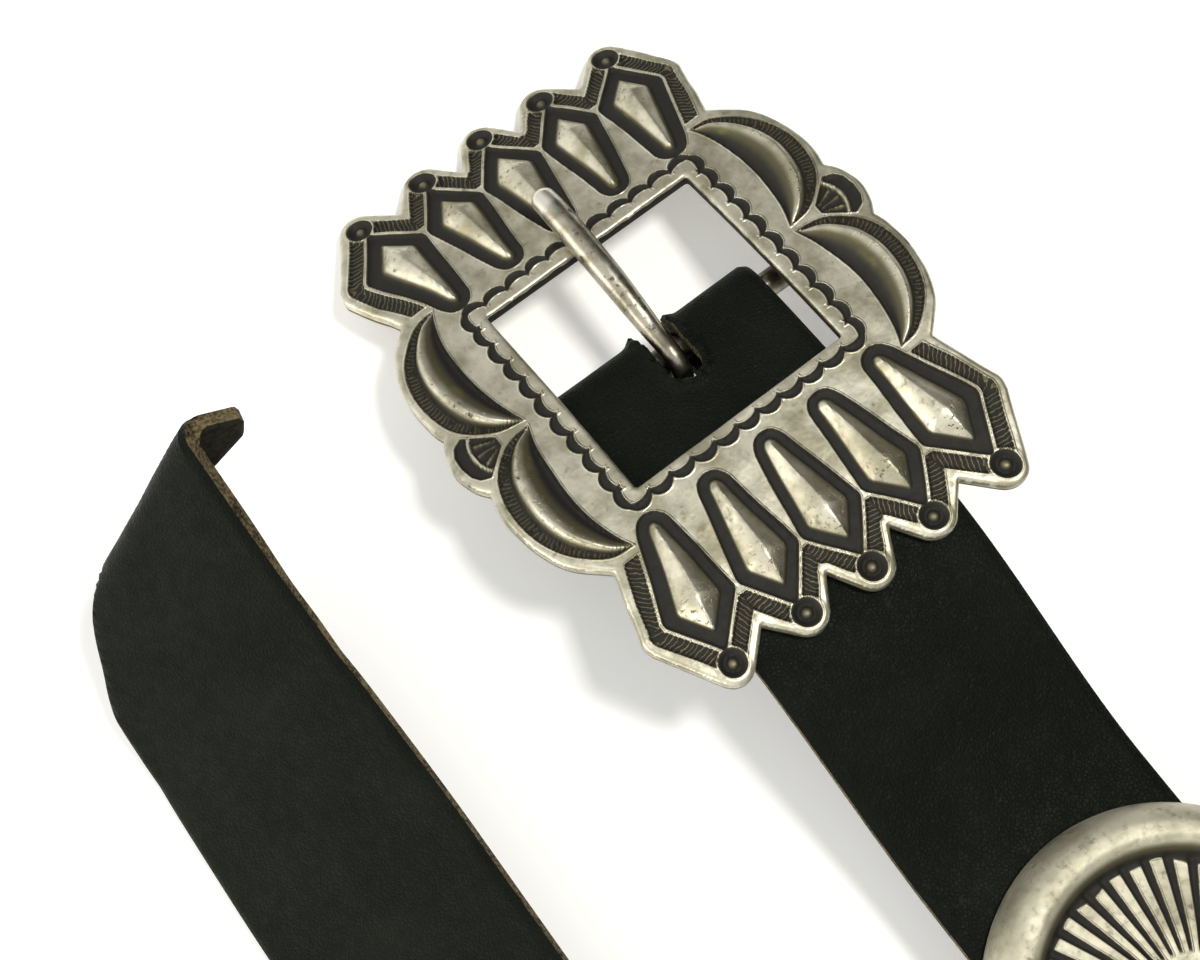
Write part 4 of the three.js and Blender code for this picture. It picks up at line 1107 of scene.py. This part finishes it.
@dataclass
class Prong:
    """Round wire hooked on the bar, resting on the far side of the frame."""

    buckle: FrameBuckle
    wire: DrawnWire
    diameter: float = 4.6
    eye_diameter: float = 3.4
    tip_diameter: float = 4.2
    reach_past_window: float = 10.0
    side_shift: float = 1.0
    running_gap: float = 0.3

    def rest(self, y: float, radius: float) -> float:
        """Height of the wire's middle where it passes over the plate and the middle petal."""
        start = self.buckle.window_length / 2
        boss = 2.8 * 0.72 * float(smoothstep(start + 3, start + 8, np.array(y)))
        return self.buckle.place.front(y) + boss + self.running_gap + radius

    def build(self) -> bpy.types.Object:
        """Makes the prong."""
        buckle = self.buckle
        eye_radius = buckle.bar_diameter / 2 + self.running_gap + self.eye_diameter / 2
        angle = np.radians(np.linspace(-50, -270, 23))
        eye = np.stack([
            buckle.bar_along + eye_radius * np.cos(angle), -buckle.bar_drop + eye_radius * np.sin(angle),
        ], 1)
        tip_along = buckle.window_length / 2 + self.reach_past_window
        top = -buckle.bar_drop + eye_radius
        rest = self.rest(buckle.window_length / 2, self.diameter / 2)
        end = self.rest(tip_along, self.tip_diameter / 2)
        rows = [
            (0.0, top, 0.0), (0.1, top + 0.12 * (rest - top), 0.15), (0.25, top + 0.4 * (rest - top), 0.55),
            (0.45, top + 0.76 * (rest - top), 0.9), (0.7, rest + 0.15, 1.0),
            (0.86, rest + 0.6 * (end - rest) + 0.25, 1.0), (0.94, end + 0.06, 0.86), (0.985, end - 0.02, 0.8),
        ]
        reach = tip_along - buckle.bar_along
        shank = np.array([(buckle.bar_along + along * reach, height) for along, height, _ in rows])
        growth = np.array([row[2] for row in rows])
        fine = through(shank, 10)[1:]
        grown = np.interp(np.arange(1, len(fine) + 1) / 10, np.arange(len(rows)), growth)
        flat = np.vstack([eye, fine])
        small, large = self.eye_diameter / 2, self.diameter / 2
        radii = np.concatenate([np.full(len(eye), small), small + grown * (large - small)])
        last, before = flat[-1], flat[-2]
        ahead = (last - before) / np.linalg.norm(last - before)
        tip = self.tip_diameter / 2
        for share in (0.35, 0.62, 0.82, 0.94, 0.99):
            flat = np.vstack([flat, last + ahead * tip * share * 0.8])
            radii = np.append(radii, radii[len(eye) + len(fine) - 1] * math.sqrt(1 - share**2))
        path = np.stack([np.full(len(flat), -self.side_shift), flat[:, 0], flat[:, 1]], 1)
        skin = tube(path, radii, 28, np.array([1.0, 0.0, 0.0]))
        x, y, z = skin.vertices.T
        skin.vertices[:, 2] += 0.06 * wander(x * 3, y, 9.0, 4.0)
        bar_reach = np.hypot(y - buckle.bar_along, z + buckle.bar_drop)
        skin.fields = {
            "worn": smoothstep(eye_radius + 3.0, eye_radius - 0.5, bar_reach),
            "bare": smoothstep(tip_along - 4.0, tip_along - 2.5, y + 0.4 * wander(x, y, 2.0, 1.0)),
        }
        skin = skin.moved(buckle.place.turn, buckle.place.origin)
        made = skin.to_object("prong_wire", [self.wire.build()], 60)
        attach(made, BODY_PRONG)
        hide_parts("prong")
        return made


# Strap


@dataclass
class LieRow:
    """How the strap lies at one place.

    The place is in concho pitches past the first, the lean in degrees, the lift a share of the width.
    """

    at: float
    lean: float
    lift: float
    concho: bool


@dataclass
class StrapRoute:
    """The strap's middle surface from its folded tail, round the bar and along the loop to its tip."""

    buckle: FrameBuckle
    width: float = 41.3
    thickness: float = 2.6
    tail_length: float = 44.0
    side_shift: float = 2.6
    running_gap: float = 0.3
    turn_out: float = 90.0
    turn_back: float = 98.0
    straighten: float = 6.6
    straighten_length: float = 70.0
    corner_length: float = 42.0
    pitch: float = 110.0
    first_concho: float = 129.0
    concho_width: float = 62.0
    concho_count: int = 6
    seat_gap: float = 0.5
    curl_raised: float = 2.2
    curl_low: float = 3.3
    curl_angle: float = 133.7
    curl_skew: float = 27.8
    curl_tail: float = 6.1
    sweep: float = 20.0
    tip_cut: Points = (
        (-16.0, 0.0), (-9.0, 0.4), (-6.5, 1.3), (-2.0, 3.7), (4.0, 6.6), (8.0, 9.3), (13.0, 13.1),
        (20.0, 20.3), (26.0, 27.0), (34.0, 37.3),
    )
    lie: tuple[LieRow, ...] = (
        LieRow(0, 2, 0.33, True), LieRow(1, 36, 0.02, True), LieRow(2, 76, 0.005, True),
        LieRow(3, 90, 0, True), LieRow(4, 74, 0, True), LieRow(5, 36, 0.01, True),
        LieRow(6.3, 29, 0, False), LieRow(6.8, 29, 0.01, False), LieRow(7.05, 32.7, 0, False),
        LieRow(7.22, 37.9, 0.038, False), LieRow(7.273, 36.7, 0.184, False),
    )

    def __post_init__(self) -> None:
        """Works out the route's tables."""
        buckle, half = self.buckle, self.thickness / 2
        self.fold_radius = buckle.bar_diameter / 2 + self.running_gap + half
        turn = buckle.place.turn
        self.height0 = buckle.place.height
        bar = turn @ [0, buckle.bar_along, -buckle.bar_drop] + [0, 0, self.height0]
        self.bar_place = bar
        window = buckle.window_length / 2
        under = []
        for share in (0, 0.12, 0.3, 0.5, 0.7, 0.85):
            y = buckle.bar_along - share * (buckle.length / 2 + buckle.bar_along)
            over_bar = -buckle.bar_drop + self.fold_radius
            plate = buckle.place.front(y) - buckle.thickness - 2 * self.running_gap - half
            blend = float(smoothstep(0, window + buckle.bar_along, np.array(buckle.bar_along - y)))
            z = over_bar + (min(plate, over_bar) - over_bar) * blend
            place = turn @ [0, y, z] + [0, 0, self.height0]
            under.append((bar[1] - place[1], place[2]))
        self.start = under[0][0]
        seat = self.pitch - self.corner_length
        heights, leans = list(under), [(0.0, 0.0), (under[-1][0], 0.0)]
        for row in self.lie:
            place = self.place_at(row.at)
            spots = (place - seat / 2, place + seat / 2) if row.concho else (place,)
            for spot in spots:
                heights.append((spot, self.resting(row) + row.lift * self.width))
                leans.append((spot, row.lean))
        self.height_at, self.lean_at = smooth_table(heights), smooth_table(leans)
        first_corner = self.place_at(2) + seat / 2
        second_corner = first_corner + self.corner_length + seat
        arm = self.place_at(self.concho_count - 1) + seat / 2
        self.sheet_start = self.place_at(self.lie[-1].at)
        step = 0.5
        self.way = np.arange(0, self.sheet_start + self.width, step)
        middle = self.way[:-1] + step / 2
        heading = np.radians(
            np.clip((middle - first_corner) / self.corner_length, 0, 1) * self.turn_out
            + np.clip((middle - second_corner) / self.corner_length, 0, 1) * self.turn_back
            - np.clip((middle - arm) / self.straighten_length, 0, 1) * self.straighten
        )
        self.plan_x = -self.side_shift - np.concatenate([[0], np.cumsum(step * np.sin(heading))])
        self.plan_y = bar[1] - np.concatenate([[0], np.cumsum(step * np.cos(heading))])
        skew = math.radians(self.curl_skew)
        ruling_length = self.width / math.cos(skew)
        self.cone = math.atan((self.curl_low - self.curl_raised) / ruling_length)
        self.ruling = np.array([-math.sin(skew), math.cos(skew)])
        self.past_ruling = np.array([math.cos(skew), math.sin(skew)])
        curl_start = self.width / 2 * math.tan(skew) + 1
        raised = np.array([curl_start + self.width / 2 * math.tan(skew), -self.width / 2])
        self.apex = raised - self.ruling * self.curl_raised / math.tan(self.cone)
        self.wrap_limit = math.radians(self.curl_angle) * math.sin(self.cone)
        self.sheet_end = raised[0] + math.radians(self.curl_angle) * self.curl_raised + self.curl_tail
        self.stations = self.walk()

    def place_at(self, pitches: float) -> float:
        """Distance from the bar at a number of concho pitches past the first concho."""
        return self.first_concho + pitches * self.pitch

    def resting(self, row: LieRow) -> float:
        """Height at which the leaning strap, or its concho's rim, just rests on the surface."""
        lean, half = math.radians(row.lean), self.thickness / 2
        reach = self.concho_width / 2 if row.concho else self.width / 2
        seat = -(half + self.seat_gap) if row.concho else half
        return max(
            reach * math.sin(lean) + seat * math.cos(lean),
            self.width / 2 * math.sin(lean) + half * math.cos(lean),
        )

    def frame_at(self, s: float) -> tuple[Array, Array, Array, Array]:
        """Place, way along, way across to the outer edge, and face, at a distance from the bar."""

        def point(at: float) -> Array:
            """Place of the route's middle line."""
            x, y = np.interp(at, self.way, self.plan_x), np.interp(at, self.way, self.plan_y)
            return np.array([x, y, float(self.height_at(at))])

        along = point(s + 0.5) - point(max(s - 0.5, 0.0))
        along /= np.linalg.norm(along)
        level = np.cross([0, 0, 1], along)
        level /= np.linalg.norm(level)
        upright = np.cross(along, level)
        lean = math.radians(float(self.lean_at(s)))
        across = level * math.cos(lean) - upright * math.sin(lean)
        return point(s), along, across, np.cross(along, across)

    def walk(self) -> dict[str, Array]:
        """Fine stations from the tail's end to the start of the curled sheet, with the way walked."""
        places, acrosses, faces = [], [], []
        closed = self.thickness + self.running_gap
        for s in np.arange(self.tail_length, self.start + 0.5, -1.0):
            place, _, _, face = self.frame_at(s)
            blend = float(smoothstep(self.start, 4 * self.fold_radius, np.array(s)))
            offset = 2 * self.fold_radius + (closed - 2 * self.fold_radius) * blend
            places.append(place - face * offset)
            acrosses.append(np.array([1.0, 0, 0]))
            faces.append(-face)
        for angle in np.radians(np.linspace(-90, 90, 19)):
            out = self.buckle.place.turn @ [0, math.cos(angle), math.sin(angle)]
            places.append(self.bar_place * [0, 1, 1] + [-self.side_shift, 0, 0] + out * self.fold_radius)
            acrosses.append(np.array([1.0, 0, 0]))
            faces.append(out)
        self.fold_index = len(places) - 10
        for s in np.arange(self.start + 1.0, self.sheet_start, 1.0):
            place, _, across, face = self.frame_at(s)
            places.append(place)
            acrosses.append(across)
            faces.append(face)
        place, _, across, face = self.frame_at(self.sheet_start)
        places.append(place)
        acrosses.append(across)
        faces.append(face)
        points, acrosses, faces = np.array(places), np.array(acrosses), np.array(faces)
        walked = np.concatenate([[0], np.cumsum(np.linalg.norm(np.diff(points, axis=0), axis=1))])
        # The strap rises into its curled tip in one even sweep
        first, last = int(np.searchsorted(walked, walked[-1] - self.sweep)), len(walked) - 1
        t = ((walked[first:] - walked[first]) / (walked[last] - walked[first]))[:, None]
        span = walked[last] - walked[first]
        ways = [points[first] - points[first - 1], np.cross(acrosses[last], faces[last])]
        start, end = [way / np.linalg.norm(way) * span for way in ways]
        points[first:] = (
            (2 * t**3 - 3 * t**2 + 1) * points[first] + (t**3 - 2 * t**2 + t) * start
            + (3 * t**2 - 2 * t**3) * points[last] + (t**3 - t**2) * end
        )
        ease = t * t * (3 - 2 * t)
        acrosses[first:] = acrosses[first] + (acrosses[last] - acrosses[first]) * ease
        faces[first:] = faces[first] + (faces[last] - faces[first]) * ease
        return {"way": walked, "place": points, "across": acrosses, "face": faces}

    @property
    def flat_length(self) -> float:
        """Length of the whole strap laid flat."""
        return float(self.stations["way"][-1] + self.sheet_end)

    @property
    def fold_way(self) -> float:
        """Way along the flat strap at the middle of the fold round the bar."""
        return float(self.stations["way"][self.fold_index])

    def low_edge(self, way: Array) -> Array:
        """Place across of the outer edge, cut back towards the tip."""
        return self.width / 2 - smooth_table(self.tip_cut)(way - self.stations["way"][-1])

    def curled(self, u: Array, w: Array, n: Array) -> Array:
        """Places in the sheet's frame of flat points, once the tip is curled round its cone."""
        flat = np.stack([u, w], -1) - self.apex
        reach = np.hypot(flat[:, 0], flat[:, 1])
        angle = np.arctan2(flat @ self.past_ruling, flat @ self.ruling)
        wrapped = np.clip(angle, 0, self.wrap_limit)
        rest = angle - wrapped
        in_plane = np.cos(rest)[:, None] * self.ruling + np.sin(rest)[:, None] * self.past_ruling
        c, s = math.cos(self.cone), math.sin(self.cone)
        axis = np.array([self.ruling[0] * c, self.ruling[1] * c, -s])
        turn = (wrapped / s)[:, None]
        arm = np.concatenate([in_plane * reach[:, None], n[:, None]], 1)
        turned = arm * np.cos(turn) + np.cross(axis, arm) * np.sin(turn)
        turned += axis * (arm @ axis)[:, None] * (1 - np.cos(turn))
        return turned + [self.apex[0], self.apex[1], 0.0]

    def placed(self, way: Array, w: Array, n: Array) -> Array:
        """Places in the part's frame of points of the flat strap.

        Args:
            way: Way along from the tail's end.
            w: Place across, positive to the outer edge.
            n: Height off the middle surface, positive on the grain side.

        Returns:
            Places, three numbers each.
        """
        stations = self.stations
        read = {k: np.stack([np.interp(way, stations["way"], stations[k][:, i]) for i in range(3)], 1)
                for k in ("place", "across", "face")}
        for key in ("across", "face"):
            read[key] /= np.linalg.norm(read[key], axis=1)[:, None]
        result = read["place"] + read["across"] * w[:, None] + read["face"] * n[:, None]
        curled = way > stations["way"][-1]
        if curled.any():
            place, along, across, face = self.frame_at(self.sheet_start)
            local = self.curled(way[curled] - stations["way"][-1], w[curled], n[curled])
            result[curled] = place + local @ np.stack([along, across, face])
        return result + BELT_SHIFT


@dataclass
class Strap:
    """The leather strap as a thick sheet with a rough slot for the prong."""

    route: StrapRoute
    prong: Prong
    grain: BlackGrainLeather
    edge: RawLeather
    flesh: RawLeather
    step: float = 1.3
    fine_step: float = 0.55
    edge_round: float = 0.55
    slot_clearance: float = 0.6
    slot_rear_clearance: float = 1.3
    slot_lip: float = 1.6

    def slot_outline(self) -> Outline:
        """Edge of the prong's slot on the flat strap, a little ragged."""
        route, prong = self.route, self.prong
        half = prong.diameter / 2 + self.slot_clearance
        rear = prong.buckle.bar_diameter / 2 + prong.running_gap + prong.eye_diameter / 2
        rear += prong.diameter / 2 + self.slot_rear_clearance
        reach = rear + math.pi / 2 * route.fold_radius - half
        centre = np.array([route.fold_way, route.side_shift - prong.side_shift])
        angle = np.linspace(-math.pi / 2, math.pi / 2, 12)
        end = np.stack([reach + half * np.cos(angle), half * np.sin(angle)], 1)
        straight = np.linspace(reach, -reach, 26)[1:-1]
        side = np.stack([straight, np.full(len(straight), half)], 1)
        loop = np.vstack([end, side, -end, -side])
        x, y = loop.T
        ragged = 0.22 * wander(x, y, 2.6, 1.0) + 0.2 * wander(x, y, 5.3, 2.0)
        return Outline(loop + centre + np.stack([ragged, ragged * np.sign(y)], 1))

    def build(self) -> bpy.types.Object:
        """Makes the strap."""
        route = self.route
        fold, total, half_width = route.fold_way, route.flat_length, route.width / 2
        ways = np.concatenate([
            np.arange(0, fold - 18, self.step), np.arange(fold - 18, fold + 18, self.fine_step),
            np.arange(fold + 18, route.stations["way"][-1] - 20, self.step),
            np.linspace(route.stations["way"][-1] - 20, total, 90),
        ])
        centre = route.side_shift - self.prong.side_shift
        acrosses = np.concatenate([
            np.linspace(-half_width, centre - 5, 17)[:-1], np.arange(centre - 5, centre + 5, self.fine_step),
            np.linspace(centre + 5.1, half_width, 15),
        ])
        run = np.linspace(route.stations["way"][-1] - 16, total, 50)
        high = np.stack([run, route.low_edge(run)], 1)
        low = [[total, -half_width + 0.8], [total - 0.8, -half_width]]
        line = np.vstack([
            [[2.0, -half_width], [0.0, -half_width + 2]], [[0.0, half_width - 2], [2.0, half_width]],
            high, low,
        ])
        sheet = FlatSheet(Outline(line), [self.slot_outline()], ways, acrosses)
        way, w = sheet.spots.T
        near = np.clip(1 - sheet.edge_gap / self.edge_round, 0, 1)
        face_height = route.thickness / 2 - self.edge_round * (1 - np.sqrt(np.clip(1 - near**2, 0, 1)))
        soft = 0.06 * wander(way, w, 17.0, 3.0) * np.clip(sheet.edge_gap / 3, 0, 1)
        slot_gap = -self.slot_outline().probe(sheet.spots)[0]
        lip = np.exp(-((slot_gap / 1.4) ** 2)) * (0.55 + 0.45 * wander(way, w, 2.1, 4.0)) * self.slot_lip
        # The leather swells where it is creased hardest, at the raised side of the curl
        from_sheet = way - route.stations["way"][-1]
        swell = smoothstep(-4, 12, from_sheet) * smoothstep(2.0, -16.0, w)
        face_height = face_height + 0.45 * swell
        top = route.placed(way, w, face_height + soft + lip)
        bottom = route.placed(way, w, -face_height + soft)
        count = len(way)
        a, b = sheet.rim.T
        wall = np.vstack([np.stack([b, a, a + count], 1), np.stack([b, a + count, b + count], 1)])
        triangles = np.vstack([sheet.triangles, sheet.triangles[:, ::-1] + count, wall])
        finish = np.repeat([0, 2, 1], [len(sheet.triangles), len(sheet.triangles), len(wall)])
        skin = Skin(np.vstack([top, bottom]), triangles, {}, finish)
        leathers = [finish.build() for finish in (self.grain, self.edge, self.flesh)]
        made = skin.to_object("strap_leather", leathers, 40)
        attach(made, BODY_BELT)
        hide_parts("strap")
        LOG.info("strap: %d triangles, %.0f mm long", len(triangles), total)
        return made


# Conchos


@dataclass
class Concho:
    """Domed oval silver plate with a fluted middle, hollow behind, with a flat loop for the strap."""

    route: StrapRoute
    silver: OxidisedSilver
    length: float = 66.0
    width: float = 62.0
    height: float = 7.5
    sheet: float = 1.3
    flutes: int = 40
    flute_inner: float = 0.3
    flute_outer: float = 0.715
    flute_depth: float = 0.4
    rows: tuple[tuple[float, float, int], ...] = (
        (0.02, 0.28, 14), (0.30, 0.70, 18), (0.712, 0.87, 16), (0.885, 1.0, 12),
    )
    wall_oxide_and_shade: Points = ((0.70, 1.0), (0.75, 0.9), (0.775, 0.5), (0.805, 0.0))
    dents: tuple[tuple[float, float, float, float], ...] = (
        (0.91, 2.35, 0.9, 0.5), (0.93, 4.1, 1.3, 0.4), (0.9, 5.5, 1.0, 0.35), (0.94, 0.4, 1.2, 0.4),
    )
    diamond: float = 10.7
    loop_width: float = 14.0
    loop_thickness: float = 1.2
    loop_clearance: float = 0.5
    profile: Points = (
        (0, 0.86), (0.32, 0.84), (0.68, 0.6), (0.73, 0.57), (0.77, 0.8), (0.8, 0.93),
        (0.84, 1.0), (0.885, 0.975), (0.93, 0.86), (0.975, 0.54), (1, 0.12),
    )

    def face(self) -> tuple[Array, dict[str, Array], int, int]:
        """Grid over the front: places, fields, and the numbers of its rows and columns."""
        columns = self.flutes * 10
        rows = np.concatenate([np.linspace(*band) for band in self.rows])
        rho, theta = np.meshgrid(rows, np.linspace(0, 2 * math.pi, columns, endpoint=False), indexing="ij")
        rho, theta = rho.ravel(), theta.ravel()
        x, y = rho * self.width / 2 * np.cos(theta), rho * self.length / 2 * np.sin(theta)
        mean_radius = (self.width + self.length) / 4
        radius = rho * mean_radius
        height = smooth_table(self.profile)(rho) * self.height
        # Flutes: flat light wedges with dark tapered grooves between them
        pitch = 2 * math.pi / self.flutes
        wobble = 0.06 * np.sin(3 * theta + 1) * pitch
        phase = (theta + wobble) % pitch - pitch / 2
        groove_half = np.interp(rho, [self.flute_inner, self.flute_outer], [0.28, 0.78])
        end = 0.012 * np.sin(7 * theta) + 0.008 * np.sin(17 * theta + 2)
        in_flutes = np.minimum(self.flute_outer + 0.04 - rho, rho - self.flute_inner) * mean_radius
        groove = np.minimum(groove_half - np.abs(phase) * radius, in_flutes)
        ring = (rho - self.flute_outer - end) * mean_radius
        reach = (np.abs(x) ** 0.86 + np.abs(y) ** 0.86) ** (1 / 0.86)
        edge = np.minimum(self.diamond - reach, reach - (self.diamond - 2.6)) * 0.6
        spark = (self.diamond * 0.34 - reach) * 0.6
        recess = np.max([groove, ring, edge, spark], 0)
        height -= self.flute_depth * smoothstep(0.0, 0.4, groove) + 0.5 * smoothstep(0.0, 0.5, edge)
        height -= 0.35 * smoothstep(0.0, 0.4, spark)
        height += 0.08 * wander(x, y, 11.0, 2.0)
        for at, turn, size, deep in self.dents:
            dent_x, dent_y = at * self.width / 2 * math.cos(turn), at * self.length / 2 * math.sin(turn)
            gap = np.hypot(x - dent_x, y - dent_y)
            height -= deep * np.exp(-((gap / size) ** 2))
        # Oxide in the hollow round the flutes, with painted shade on the wall up to the rim
        shade = np.where(ring > 0, smooth_table(self.wall_oxide_and_shade)(rho), 1.0)
        fields = {"recess": recess, "oxide": shade, "tick": np.zeros(len(x)), "hatch": np.zeros(len(x))}
        return np.stack([x, y, height], 1), fields, len(rows), columns

    def dome(self) -> Skin:
        """Closed skin of the dome: front, rim and hollow back."""
        front, fields, rows, columns = self.face()
        inset = 1 - self.sheet / (self.width / 2)
        table = smooth_table(self.profile)
        angle = np.linspace(0, 2 * math.pi, columns, endpoint=False)
        # The hollow side keeps the sheet's thickness below the lowest place of the front nearby
        levels = [(1.0, 0.0), (inset, 0.0)]
        for share in [0.97, *np.arange(0.94, 0.66, -0.02), 0.5, 0.3, 0.05]:
            around = np.clip(share * inset + np.linspace(-0.04, 0.04, 9), 0.0, 1.0)
            levels.append((share * inset, max(float(table(around).min()) * self.height - self.sheet, 0.0)))
        out_x, out_y = self.width / 2 * np.cos(angle), self.length / 2 * np.sin(angle)
        rings = [np.stack([share * out_x, share * out_y, np.full(columns, z)], 1) for share, z in levels]
        middle = [[0, 0, front[0, 2]], [0, 0, self.height * self.profile[0][1] - self.sheet]]
        vertices = np.vstack([front, *rings, middle])
        total_rows = rows + len(rings)
        r, k = np.meshgrid(np.arange(total_rows - 1), np.arange(columns), indexing="ij")
        a = (r * columns + k).ravel()
        b = (r * columns + (k + 1) % columns).ravel()
        faces = [np.stack([a, a + columns, b + columns], 1), np.stack([a, b + columns, b], 1)]
        top, under = total_rows * columns, total_rows * columns + 1
        k = np.arange(columns)
        last = (total_rows - 1) * columns
        faces.append(np.stack([np.full(columns, top), k, (k + 1) % columns], 1))
        faces.append(np.stack([np.full(columns, under), last + (k + 1) % columns, last + k], 1))
        extra = len(vertices) - len(front)
        padding = {"recess": -1.0, "oxide": 0.0, "tick": 0.0, "hatch": 0.0}
        grown = {n: np.concatenate([v, np.full(extra, padding[n])]) for n, v in fields.items()}
        grown["recess"][top] = 1.0
        grown["oxide"][top] = 1.0
        return Skin(vertices, np.vstack(faces), grown)

    def shape(self) -> Skin:
        """The dome with its loop behind, in the concho's own frame."""
        route = self.route
        leg_inner = route.width / 2 + self.loop_clearance
        strip_top = -(route.seat_gap + route.thickness + route.running_gap)
        leg_centre = leg_inner + self.loop_thickness / 2
        over_leg = float(smooth_table(self.profile)(leg_centre / (self.width / 2)))
        leg_top = over_leg * self.height - self.sheet / 2
        leg_height = leg_top - strip_top + self.loop_thickness
        skins = [self.dome()]
        for side in (-1, 1):
            size = np.array([self.loop_thickness, self.loop_width, leg_height])
            skins.append(rounded_block(size, np.array([side * leg_centre, 0, leg_top - leg_height / 2]), 0.2))
        size = np.array([2 * leg_inner + 2 * self.loop_thickness, self.loop_width, self.loop_thickness])
        skins.append(rounded_block(size, np.array([0, 0, strip_top - self.loop_thickness / 2]), 0.2))
        for block in skins[1:]:
            block.fields = {"recess": np.full(len(block.vertices), -1.0)}
        return Skin.joined(skins)

    def build(self) -> list[bpy.types.Object]:
        """Makes every concho where it sits on the strap."""
        silver, shape, made = self.silver.build(), self.shape(), []
        for i in range(self.route.concho_count):
            place, along, across, face = self.route.frame_at(self.route.place_at(i))
            seat = place + face * (self.route.thickness / 2 + self.route.seat_gap) + BELT_SHIFT
            matrix = np.stack([across, -along, face], 1)
            piece = shape.moved(matrix, seat).to_object(f"concho_dome_{i + 1}", [silver], 50)
            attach(piece, BODY_BELT)
            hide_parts(f"concho_{i + 1}")
            made.append(piece)
        LOG.info("conchos: %d of %d triangles", len(made), len(shape.triangles))
        return made


# Studio


class Lamp(Enum):
    """The studio's soft lights: place and aim in metres, width, height, power in watts, colour."""

    LEFT_CARD = ((-0.96, 0.16, 0.3), (0.0, 0.12, 0.0), 1.2, 0.5, 7.5, "#FFF8EC")
    KEY = ((0.33, 0.0, 1.2), (0.0, 0.1, 0.0), 0.2, 0.2, 9.5, "#FFFCF6")


@dataclass
class Studio:
    """Pale floor, soft lights and the camera at the photograph's angle."""

    floor: PaperSweep = PaperSweep("white_paper_sweep")
    dark_way: tuple[float, float, float] = (0.9739, -0.0642, 0.1629)
    camera_place: tuple[float, float, float] = (-36.820, 109.123, 361.411)
    camera_right: tuple[float, float, float] = (0.79279, -0.60878, 0.02954)
    camera_up: tuple[float, float, float] = (0.58458, 0.77320, 0.24583)
    lens: float = 67.893

    def build(self) -> None:
        """Makes the floor, lights, world and camera."""
        self.add_floor()
        for lamp in Lamp:
            self.add_lamp(lamp)
        self.add_world()
        self.add_camera()
        bpy.context.scene.view_settings.view_transform = "Standard"

    def add_floor(self) -> None:
        """Wide pale floor at the height the belt lies on."""
        bpy.ops.mesh.primitive_plane_add(size=8.0, location=(0, 0, 0))
        floor = bpy.context.object
        floor.name = "studio_floor"
        floor.data.materials.append(self.floor.build())

    def add_lamp(self, lamp: Lamp) -> None:
        """One soft rectangular light."""
        place, aim, width, height, power, colour = lamp.value
        data = bpy.data.lights.new(lamp.name.lower(), "AREA")
        data.shape, data.size, data.size_y = "RECTANGLE", width, height
        data.energy, data.color = power, linear(colour)[:3]
        light = bpy.data.objects.new(data.name, data)
        light.location = place
        light.rotation_mode = "QUATERNION"
        light.rotation_quaternion = (Vector(aim) - Vector(place)).to_track_quat("-Z", "Y")
        bpy.context.scene.collection.objects.link(light)

    def add_world(self) -> None:
        """Even pale surroundings, darker to the right, for the metal to reflect."""
        world = bpy.data.worlds.new("studio")
        world.use_nodes = True
        bpy.context.scene.world = world
        world.node_tree.nodes.clear()
        add = partial(add_node, world.node_tree)
        place = add(Node.COORDINATES, output="Generated")
        sideways = add(Node.VECTOR_MATH, {"operation": "DOT_PRODUCT", 1: self.dark_way}, {0: place}, "Value")
        share = add(Node.RANGE, {1: -0.1, 2: 0.75}, {0: sideways})
        colour = add(Node.MIX, {**COLOUR, 6: linear("#FFFFFC"), 7: linear("#3E3E3C")}, {0: share}, 2)
        shader = add(Node.BACKGROUND, {"Strength": 1.0}, {"Color": colour})
        add(Node.WORLD_OUTPUT, links={"Surface": shader})

    def add_camera(self) -> None:
        """Camera at the photograph's place, angle and field of view."""
        data = bpy.data.cameras.new("photo_view")
        data.lens, data.sensor_width, data.sensor_fit = self.lens, 36.0, "HORIZONTAL"
        data.clip_start = 0.01
        camera = bpy.data.objects.new("photo_view", data)
        right, up = np.array(self.camera_right), np.array(self.camera_up)
        back = np.cross(right, up)
        matrix = Matrix([list(row) for row in np.stack([right, up, back], 1)]).to_4x4()
        matrix.translation = Vector(self.camera_place) * MM
        camera.matrix_world = matrix
        bpy.context.scene.collection.objects.link(camera)
        bpy.context.scene.camera = camera


def main() -> None:
    """Builds the belt round the frame, then the studio."""
    logging.basicConfig(level=logging.INFO, format="%(name)s: %(message)s")
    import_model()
    stamped = OxidisedSilver("oxidised_silver_buckle")
    buckle = FrameBuckle(BucklePlace(), stamped, DrawnWire("drawn_silver_bar"))
    for made in buckle.build():
        LOG.info("piece %s", made.name)
    prong = Prong(buckle, DrawnWire("drawn_silver_prong"))
    LOG.info("piece %s", prong.build().name)
    route = StrapRoute(buckle)
    strap = Strap(
        route,
        prong,
        BlackGrainLeather("black_grain_leather"),
        RawLeather("raw_cut_leather_edge"),
        RawLeather("suede_flesh_side", light="#25221A", deep="#0E0D08", fibre=0.7),
    )
    LOG.info("piece %s", strap.build().name)
    domed = OxidisedSilver(
        "oxidised_silver_concho", bright="#CFCBB8", warm="#B0AB96", verdigris_amount=0.12, polish=0.6
    )
    for made in Concho(route, domed).build():
        LOG.info("piece %s", made.name)
    Studio().build()
    bpy.context.view_layer.update()


if __name__ == "__main__":
    main()
